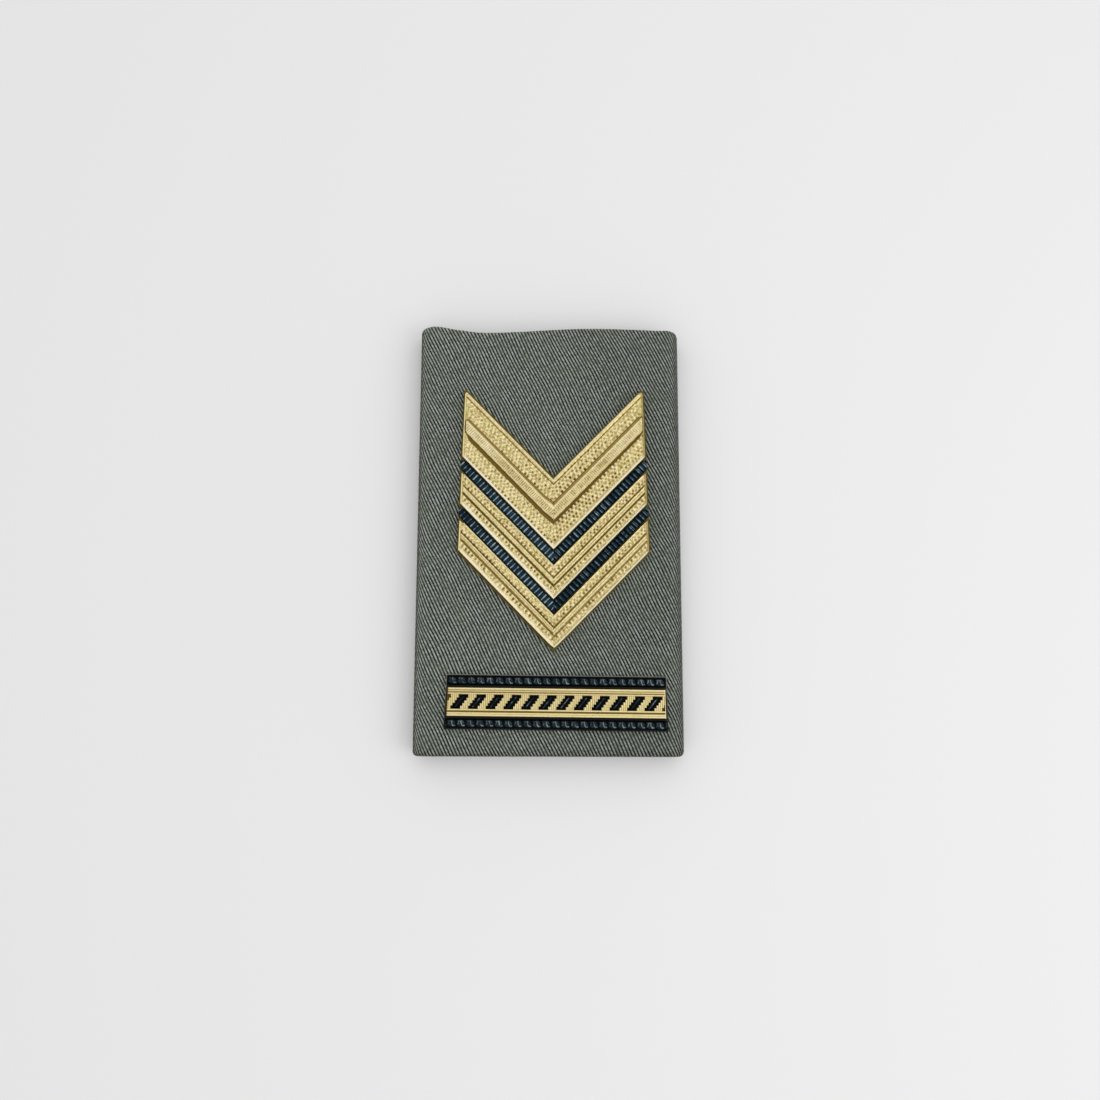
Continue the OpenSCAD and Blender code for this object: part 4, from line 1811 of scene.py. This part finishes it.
@dataclass
class BarBadge:
    """The gilt bar with its black slashes and the two black strips along it."""

    # Place and size
    middle_x: float = 1.79
    top_y: float = -31.63 + CENTRE_Y
    turn_deg: float = 0.58
    back_z: float = BADGE_BACK
    length: float = 48.4
    flare: float = 0.03
    strip: float = 2.1
    strip_gap: float = 0.5
    gilt: float = 6.28
    margin: float = 0.3
    step: float = 0.1
    fine_step: float = 0.07
    post_places: Table = ((-16, -5.6), (16, -5.6))

    # The gilt face, with painted shade in its grooves, thread gaps and pockets and at its left end, and
    # painted highlight on its threads and its right end
    relief_from: float = 0.4
    shoulder: float = 0.9
    rim_height: float = 1.6
    end_inset: float = 0.15
    thread_pitch: float = 0.43
    thread_depth: float = 0.08
    thread_dark: float = 0.42
    groove_dark: float = 0.62
    pocket_dark: float = 0.85
    left_dark: float = 0.75
    plain_polish: float = 0.3
    faintest_thread: float = 0.4
    thread_length: float = 0.6
    # Between which distances from the gilt part's upper edge the threads come in, and go out
    threads_in: tuple[float, float] = (1.35, 1.5)
    threads_out: tuple[float, float] = (4.6, 4.75)
    # The right end's plain rim with painted highlight, and the left end's line of painted shade: where each
    # goes out
    right_rim: tuple[float, float] = (0.2, 0.32)
    left_line: tuple[float, float] = (0.16, 0.3)
    groove_limits: tuple[float, float] = (1.3, 1.5)

    # The slashes
    slash_count: int = 12
    slash_first: float = -21.34
    slash_pitch: float = 3.893
    slash_top: float = 1.64
    slash_height: float = 2.98
    slash_width: float = 2.0
    slash_lean: float = 2.3
    slash_steps: int = 5
    slash_floor: float = 0.9
    slash_face: float = 1.35
    slash_clear: float = 0.05
    slash_dome: float = 0.5
    slash_edge: float = 0.55
    # The ridge along a slash: height, place from its axis, spread
    slash_ridge: tuple[float, float, float] = (0.1, -0.1, 0.15)
    # Painted highlight ticks on the ridge: length, limits, least light and how much more they have
    tick_length: float = 0.5
    tick_limits: tuple[float, float] = (0.3, 0.8)
    tick_light: tuple[float, float] = (0.2, 0.55)

    # The black strips and their marks, whose raised strokes get a painted highlight
    strip_overhang: float = 0.1
    strip_floor: float = 0.65
    strip_height: float = 1.1
    strip_corner: float = 0.4
    strip_pitch: float = 2.09
    mark_top: float = 0.5
    mark_height: float = 1.15
    stroke_height: float = 0.3
    stroke_half: float = 0.17
    faintest_mark: float = 0.8
    lowest_edge: float = 0.4
    dome_width: float = 0.35
    # The dim painted highlight under a mark: how light, half width, place across at its head, and its lean
    ground: tuple[float, float, float, float] = (0.3, 0.66, -0.12, 0.15)
    # How strong a stroke's painted highlight is: least, and how much it varies
    stroke_light: tuple[float, float] = (0.85, 0.35)

    # Strokes of one mark: head across and down, foot across and down, how bright its painted highlight is
    strokes: Table = (
        (-0.5, 0.08, -0.72, 0.78, 0.62), (-0.72, 0.06, 0.1, 0.02, 0.5), (-0.06, 0.06, 0.06, 0.72, 0.9),
        (0.06, 0.72, 0.3, 1.06, 1.0), (0.3, 1.06, 0.66, 1.02, 0.85), (0.24, 0.12, 0.56, 0.5, 0.45),
    )

    # Loops of the back plate: stands in from its edge, height, how bright a painted highlight its bevel gets
    plate_loops: Table = (
        (0.06, 0.0, 0.0), (0.0, 0.06, 0.0), (0.0, 0.48, 0.6), (0.12, 0.6, 0.6), (0.16, 0.6, 0.0),
    )

    # Height down the gilt part: distance from its upper edge, height
    lines: Table = (
        (0, 0.9), (0.08, 1.6), (0.42, 1.6), (0.52, 1.41), (0.62, 1.41), (0.7, 1.6), (0.86, 1.6),
        (0.96, 1.37), (1.08, 1.37), (1.18, 1.6), (1.4, 1.6), (1.5, 1.5), (4.65, 1.5), (4.73, 1.6),
        (5, 1.6), (5.1, 1.3), (5.34, 1.3), (5.44, 1.6), (5.72, 1.6), (5.8, 1.5), (5.88, 1.6),
        (6.2, 1.6), (6.28, 0.9),
    )

    @property
    def depth(self) -> float:
        """Distance from the upper edge of the bar to its lower edge."""
        return 2 * (self.strip + self.strip_gap) + self.gilt

    @property
    def slash_foot(self) -> float:
        """Distance from the upper edge of the bar to the feet of the slashes."""
        return self.strip + self.strip_gap + self.slash_top + self.slash_height

    def _half(self, down: Array) -> Array:
        """Half length of the bar at a distance below its upper edge."""
        return self.length / 2 + self.flare * down

    def _points(self, x: Array, down: Array, z: Array) -> Array:
        """Turns the bar's own places into points of the slide.

        Args:
            x: Place along the bar.
            down: Distance below its upper edge.
            z: Height above its back.

        Returns:
            Points in millimetres.
        """
        a = math.radians(self.turn_deg)
        across = x * math.cos(a) - down * math.sin(a)
        up = -x * math.sin(a) - down * math.cos(a)
        return np.stack([self.middle_x + across, self.top_y + up, z + self.back_z], axis=-1)

    def _slash_left(self, up: Array) -> Array:
        """Left side of a slash, which climbs in steps.

        Args:
            up: Height from the slash's foot.

        Returns:
            Place of the side from the slash's middle.
        """
        rise = self.slash_height / self.slash_steps
        number = np.clip(np.floor(up / rise), 0, self.slash_steps - 1)
        run = self.slash_lean / self.slash_steps
        return run * (number - self.slash_steps / 2 + 0.5) - self.slash_width / 2

    def _pocket(self, x: Array, down: Array) -> tuple[Array, Array]:
        """Where the pockets for the slashes are.

        Args:
            x: Place along the bar.
            down: Distance from the bar's upper edge.

        Returns:
            Values from 0 outside the pockets to 1 inside, and a soft band of painted highlight to the right
            of each.
        """
        up = self.slash_foot - down
        number = np.clip(np.round((x - self.slash_first) / self.slash_pitch), -1, self.slash_count)
        local = x - self.slash_first - number * self.slash_pitch
        left = self._slash_left(up)
        past = local - left - self.slash_width
        room = np.minimum(local - left, -past)
        tall = np.minimum(up, self.slash_height - up)
        inside = smooth_step(-0.1, 0.0, np.minimum(room, tall))
        highlight_beside = bump_at(past, 0.32, 0.3) * smooth_step(-0.1, 0.1, tall)
        return inside, highlight_beside

    def build(self, gilt: Material, dark: Material, enamel: Material) -> list[Object]:
        """Makes every piece of the bar.

        Args:
            gilt: The gilt material.
            dark: The back plate's brass, darkened as painted shade.
            enamel: The black enamel.

        Returns:
            The pieces.
        """
        pieces = [self._plate(dark), self._gilt_face(gilt)]
        for name, start in (("upper", 0.0), ("lower", self.strip + 2 * self.strip_gap + self.gilt)):
            piece = self._strip(f"black_strip_{name}", start, enamel)
            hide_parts(f"bar_strip_{name}")
            pieces.append(piece)
        for number in range(self.slash_count):
            piece = self._slash(number, enamel)
            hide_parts(f"bar_slash_{number + 1}")
            pieces.append(piece)
        return pieces

    def _grid(self, rows: Array, grow: float | Array, step: float) -> tuple[Array, Array, Array]:
        """Lays a grid over a strip of the bar.

        Args:
            rows: Distances below the bar's upper edge.
            grow: How far the strip stands out past the bar's nominal ends.
            step: Distance between columns.

        Returns:
            Places along the bar, distances below its upper edge, distances from the end.
        """
        half = self._half(rows) + grow
        columns = round(self.length / step)
        x = np.linspace(-1, 1, columns + 1)[None, :] * half[:, None]
        return x, np.broadcast_to(rows[:, None], x.shape), half[:, None] - np.abs(x)

    def _gilt_face(self, gilt: Material) -> Object:
        """Makes the gilt strip with its border lines, threads and pockets.

        Args:
            gilt: The gilt material.

        Returns:
            The piece.
        """
        first = self.strip + self.strip_gap
        marks = [line[0] for line in self.lines]
        spans = [
            np.linspace(a, b, math.ceil((b - a) / self.step) + 1)[:-1] for a, b in zip(marks, marks[1:])
        ]
        rows = first + np.append(np.concatenate(spans), marks[-1])
        x, down, from_end = self._grid(rows, -self.end_inset, self.step)
        at = down - first
        height = np.interp(at, marks, [line[1] for line in self.lines])
        threads = smooth_step(*self.threads_in, at) * (1 - smooth_step(*self.threads_out, at))
        wave = 0.5 - 0.5 * np.cos(math.tau * x / self.thread_pitch)
        keys = np.round(x / self.thread_pitch), np.round(at / self.thread_length)
        uneven = at_least(self.faintest_thread, scatter(*keys))
        height = height - self.thread_depth * wave * threads
        right = np.where(x > 0, 1 - smooth_step(*self.right_rim, from_end), 0)
        left = np.where(x < 0, 1 - smooth_step(*self.left_line, from_end), 0)
        pocket, highlight_beside = self._pocket(x, down)
        pocket = pocket * (1 - right)
        height = height * (1 - right) + self.rim_height * right
        height = height * (1 - pocket) + self.slash_floor * pocket
        groove = (1 - smooth_step(*self.groove_limits, height)) * (1 - right)
        # Painted shade in the grooves, the thread gaps, the pockets and along the left end
        thread_gaps = self.thread_dark * wave * uneven * threads * (1 - pocket)
        cavity = np.maximum(self.groove_dark * groove, thread_gaps)
        cavity = np.maximum(np.maximum(cavity, self.pocket_dark * pocket), self.left_dark * left)
        wall = smooth_step(-0.02, 0.1, from_end)
        height = self.shoulder + (height - self.shoulder) * wall
        # Painted highlight on the threads, beside the slashes and on the right end
        lit = (0.5 * uneven + 0.5 * highlight_beside) * (1 - wave) * threads
        polish_and_highlight = self.plain_polish * ((1 - groove) * (1 - threads) + right) + lit
        top = self._points(x, down, height)
        fields = {"cavity": cavity, "polish_and_highlight": polish_and_highlight}
        return make_ridge("gilt_bar", top, self._under(x, down), fields, gilt)

    def _under(self, x: Array, down: Array, floor: float | None = None) -> Array:
        """The two edges of a strip's flat underside, the gilt relief's own if no floor is given."""
        z = np.full((2, x.shape[1]), self.relief_from if floor is None else floor)
        return self._points(x[[0, -1]], down[[0, -1]], z)

    def _strip(self, name: str, start: float, enamel: Material) -> Object:
        """Makes a black strip, struck with a row of small marks of a few strokes each.

        Args:
            name: Name of the piece.
            start: Distance of its upper edge below the bar's upper edge.
            enamel: The black enamel.

        Returns:
            The strip.
        """
        rows = start + np.linspace(0, self.strip, round(self.strip / self.fine_step) + 1)
        edge = np.minimum(rows - start, start + self.strip - rows)
        cut = np.clip(self.strip_corner - edge, 0, None)
        rounded = self.strip_corner - np.sqrt(self.strip_corner**2 - cut**2)
        x, down, from_end = self._grid(rows, self.strip_overhang - rounded, self.fine_step)
        number = np.round(x / self.strip_pitch)
        local, at = x - number * self.strip_pitch, down - start
        uneven = at_least(self.faintest_mark, scatter(number, np.full_like(number, round(start))))
        low = at - self.mark_top
        ends = smooth_step(-0.15, 0.05, low) * smooth_step(-0.15, 0.05, self.mark_height - low)
        dim, half, head, lean = self.ground
        mark = dim * ends * smooth_step(-0.1, 0.1, half - np.abs(local - head - lean * low))
        least, more = self.stroke_light
        for number_of, (x0, y0, x1, y1, light) in enumerate(self.strokes):
            own = least + more * scatter(number, np.full_like(number, number_of + 10 * round(start)))
            mark = np.maximum(mark, light * own * stroke(local, low, (x0, y0), (x1, y1), self.stroke_half))
        rim = np.minimum(np.broadcast_to(edge[:, None], x.shape), from_end)
        dome = smooth_step(0, self.dome_width, rim)
        rise = (self.strip_height - self.strip_floor) * at_least(self.lowest_edge, dome)
        height = self.strip_floor + rise
        height = height + self.stroke_height * mark * dome
        # Painted highlight on the raised strokes
        crest_highlight = mark * uneven * dome
        under = self._under(x, down, self.strip_floor)
        return make_ridge(name, self._points(x, down, height), under, {"crest_highlight": crest_highlight}, enamel)

    def _slash(self, number: int, enamel: Material) -> Object:
        """Makes one black slash with its stepped sides.

        Args:
            number: Number of the slash from the left, from 0.
            enamel: The black enamel.

        Returns:
            The slash.
        """
        # Two rows a sliver apart make the upright side of each step
        sliver, columns = 0.01, 19
        rise = self.slash_height / self.slash_steps
        steps = [
            np.linspace(k * rise + (sliver if k else 0), (k + 1) * rise - sliver, 5)
            for k in range(self.slash_steps)
        ]
        up = np.concatenate(steps)[::-1]
        share = np.linspace(0, 1, columns)
        middle = self.slash_first + number * self.slash_pitch
        x = middle + self._slash_left(up)[:, None] + share[None, :] * self.slash_width
        down = np.broadcast_to((self.slash_foot - up)[:, None], x.shape)
        rim = np.minimum(
            np.minimum(share, 1 - share)[None, :] * self.slash_width,
            np.minimum(up, self.slash_height - up)[:, None],
        )
        dome = smooth_step(0, self.slash_dome, rim)
        lean = self.slash_lean / self.slash_height
        from_axis = (x - middle) - lean * (up[:, None] - self.slash_height / 2)
        ridge_height, ridge_at, ridge_spread = self.slash_ridge
        ridge = bump_at(from_axis, ridge_at, ridge_spread) * smooth_step(0.25, 0.8, rim * 1.6)
        floor = self.slash_floor + self.slash_clear
        face = (self.slash_face - floor) * at_least(self.slash_edge, dome)
        height = floor + face + ridge_height * ridge
        ticks = scatter(np.full_like(x, number), np.round(up[:, None] / self.tick_length))
        least, more = self.tick_light
        # Painted highlight ticks along the slash's ridge
        crest_highlight = (least + more * smooth_step(*self.tick_limits, ticks)) * ridge
        top, under = self._points(x, down, height), self._under(x, down, floor)
        return make_ridge(f"black_slash_{number + 1}", top, under, {"crest_highlight": crest_highlight}, enamel)

    def _plate(self, brass: Material) -> Object:
        """Makes the bar's back plate with its two posts.

        Args:
            brass: Its finish.

        Returns:
            The plate.
        """
        loops, painted_highlight = [], []
        for inset, z, light in self.plate_loops:
            grow = self.margin - inset
            low, high = -grow, self.depth + grow
            half = [self._half(np.array(d)) + grow for d in (low, high)]
            x = np.array([-half[1], half[1], half[0], -half[0]])
            down = np.array([high, high, low, low])
            loops.append(self._points(x, down, np.full(4, z)))
            # Only the bevel of the upper edge gets a painted highlight
            painted_highlight += [0.0, 0.0, light, light]
        places = np.array(self.post_places, float)
        posts = list(self._points(places[:, 0], -places[:, 1], np.zeros(len(places))))
        plate = make_plate("gilt_bar_plate", np.stack(loops), np.array(painted_highlight), posts, brass)
        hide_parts("bar_badge")
        return plate


@dataclass(frozen=True)
class Studio:
    """The pale floor, the soft lights and the camera."""

    tilt_deg: float = 8.5
    distance: float = 224.6
    focal_px: float = 985.9
    frame_px: float = 1100.0
    sensor: float = 36.0
    nearest: float = 10.0
    roll_deg: float = 0.146
    front_z: float = 6.8
    centre_y: float = CENTRE_Y
    # Where the middle of the slide's front lies in the photograph
    centre_px: tuple[float, float] = (548.85, 536.82)
    card: str = "efefef"
    card_roughness: float = 0.9
    card_specular: float = 0.1
    card_reach: float = 4000.0
    glow: float = 0.78
    light_distance: float = 600.0

    # Name, direction from +X towards +Y and height in degrees, length of a side, watts
    lights: tuple[tuple[str, float, float, float, float], ...] = (
        ("key", -20, 42, 350, 0.62), ("top", 60, 75, 500, 0.32),
    )

    def camera(self) -> Object:
        """Makes the camera at the photograph's angle.

        Returns:
            The camera.
        """
        tilt = math.radians(self.tilt_deg)
        back = Vector((0, -math.sin(tilt), math.cos(tilt)))
        right = Vector((1, 0, 0))
        up = back.cross(right)
        roll = Matrix.Rotation(math.radians(self.roll_deg), 3, back)
        right, up = roll @ right, roll @ up
        off_x = (self.centre_px[0] - self.frame_px / 2) * self.distance / self.focal_px
        off_y = (self.centre_px[1] - self.frame_px / 2) * self.distance / self.focal_px
        target = Vector((0, self.centre_y, self.front_z)) - right * off_x + up * off_y
        data = bpy.data.cameras.new("camera")
        data.sensor_width = self.sensor
        data.lens = self.focal_px * self.sensor / self.frame_px
        data.clip_start = self.nearest * MM
        camera = new_object("camera", data)
        turn = Matrix((right, up, back)).transposed().to_4x4()
        camera.matrix_world = Matrix.Translation((target + back * self.distance) * MM) @ turn
        bpy.context.scene.camera = camera
        return camera

    def light(self, name: str, azimuth: float, elevation: float, size: float, power: float) -> None:
        """Adds a soft square light that faces the slide.

        Args:
            name: Name of the light.
            azimuth: Direction it stands in, from +X towards +Y, in degrees.
            elevation: Height above the floor, in degrees.
            size: Length of its side in millimetres.
            power: Watts.
        """
        a, e = math.radians(azimuth), math.radians(elevation)
        away = Vector((math.cos(a) * math.cos(e), math.sin(a) * math.cos(e), math.sin(e)))
        data = bpy.data.lights.new(name, "AREA")
        data.size = size * MM
        data.energy = power
        lamp = new_object(name, data)
        lamp.location = away * self.light_distance * MM
        lamp.rotation_mode = "QUATERNION"
        lamp.rotation_quaternion = away.to_track_quat("Z", "Y")

    def surroundings(self) -> None:
        """Makes the floor and the even light of the room."""
        world = bpy.data.worlds.new("studio")
        world.use_nodes = True
        world.node_tree.nodes.clear()
        even = {"Color": (1, 1, 1, 1), "Strength": self.glow}
        background = add_node(world.node_tree, "ShaderNodeBackground", None, even)
        add_node(world.node_tree, "ShaderNodeOutputWorld", None, {"Surface": background.outputs[0]})
        bpy.context.scene.world = world
        card, tree = new_material("pale_card")
        dull = {"Roughness": self.card_roughness, "Specular IOR Level": self.card_specular}
        finish_material(tree, {"Base Color": linear(self.card), **dull})
        reach = self.card_reach * MM
        mesh = bpy.data.meshes.new("floor")
        corners = [(x * reach, y * reach, 0) for x, y in ((-1, -1), (1, -1), (1, 1), (-1, 1))]
        mesh.from_pydata(corners, [], [(0, 1, 2, 3)])
        mesh.materials.append(card)
        floor = new_object("floor", mesh)

    def build(self) -> None:
        """Makes the whole studio."""
        self.camera()
        self.surroundings()
        for light in self.lights:
            self.light(*light)
        bpy.context.scene.view_settings.view_transform = "Standard"


def main() -> None:
    """Builds the slide and the studio, and logs the face count of each piece."""
    logging.basicConfig(level=logging.INFO, format="%(name)s: %(message)s")
    Studio().build()
    tube = ClothTube()
    twill = UniformTwill(rib_spacing=tube.rib_spacing).build()
    gilt = SatinGilt().build()
    # The chevron plate's brass is dark as painted shade round the badge and in its gaps
    dull = SatinGilt(
        name="brass_in_painted_shade",
        field="7c6c30",
        olive="706628",
        rose="80692c",
        ochre="5c4e20",
        pit="302810",
        roughness=0.55,
        metallic=0.6,
    ).build()
    # The bar plate's brass is near black as deeper painted shade round the bar and in its gaps
    black = SatinGilt(
        name="brass_in_deep_painted_shade",
        field="12120f",
        olive="11110d",
        rose="13120e",
        ochre="0c0b08",
        pit="080806",
        gleam="8e8f86",
        rim="b8b8ac",
        roughness=0.6,
        metallic=0.4,
    ).build()
    blue = BlueBlackEnamel().build()
    grey = BlueBlackEnamel(name="grey_black_enamel", slope="25343b", crest_highlight="a2adb2").build()
    tube.build(twill)
    ChevronBadge(arm=ArmFrame()).build(gilt, dull, blue)
    BarBadge().build(gilt, black, grey)


if __name__ == "__main__":
    main()
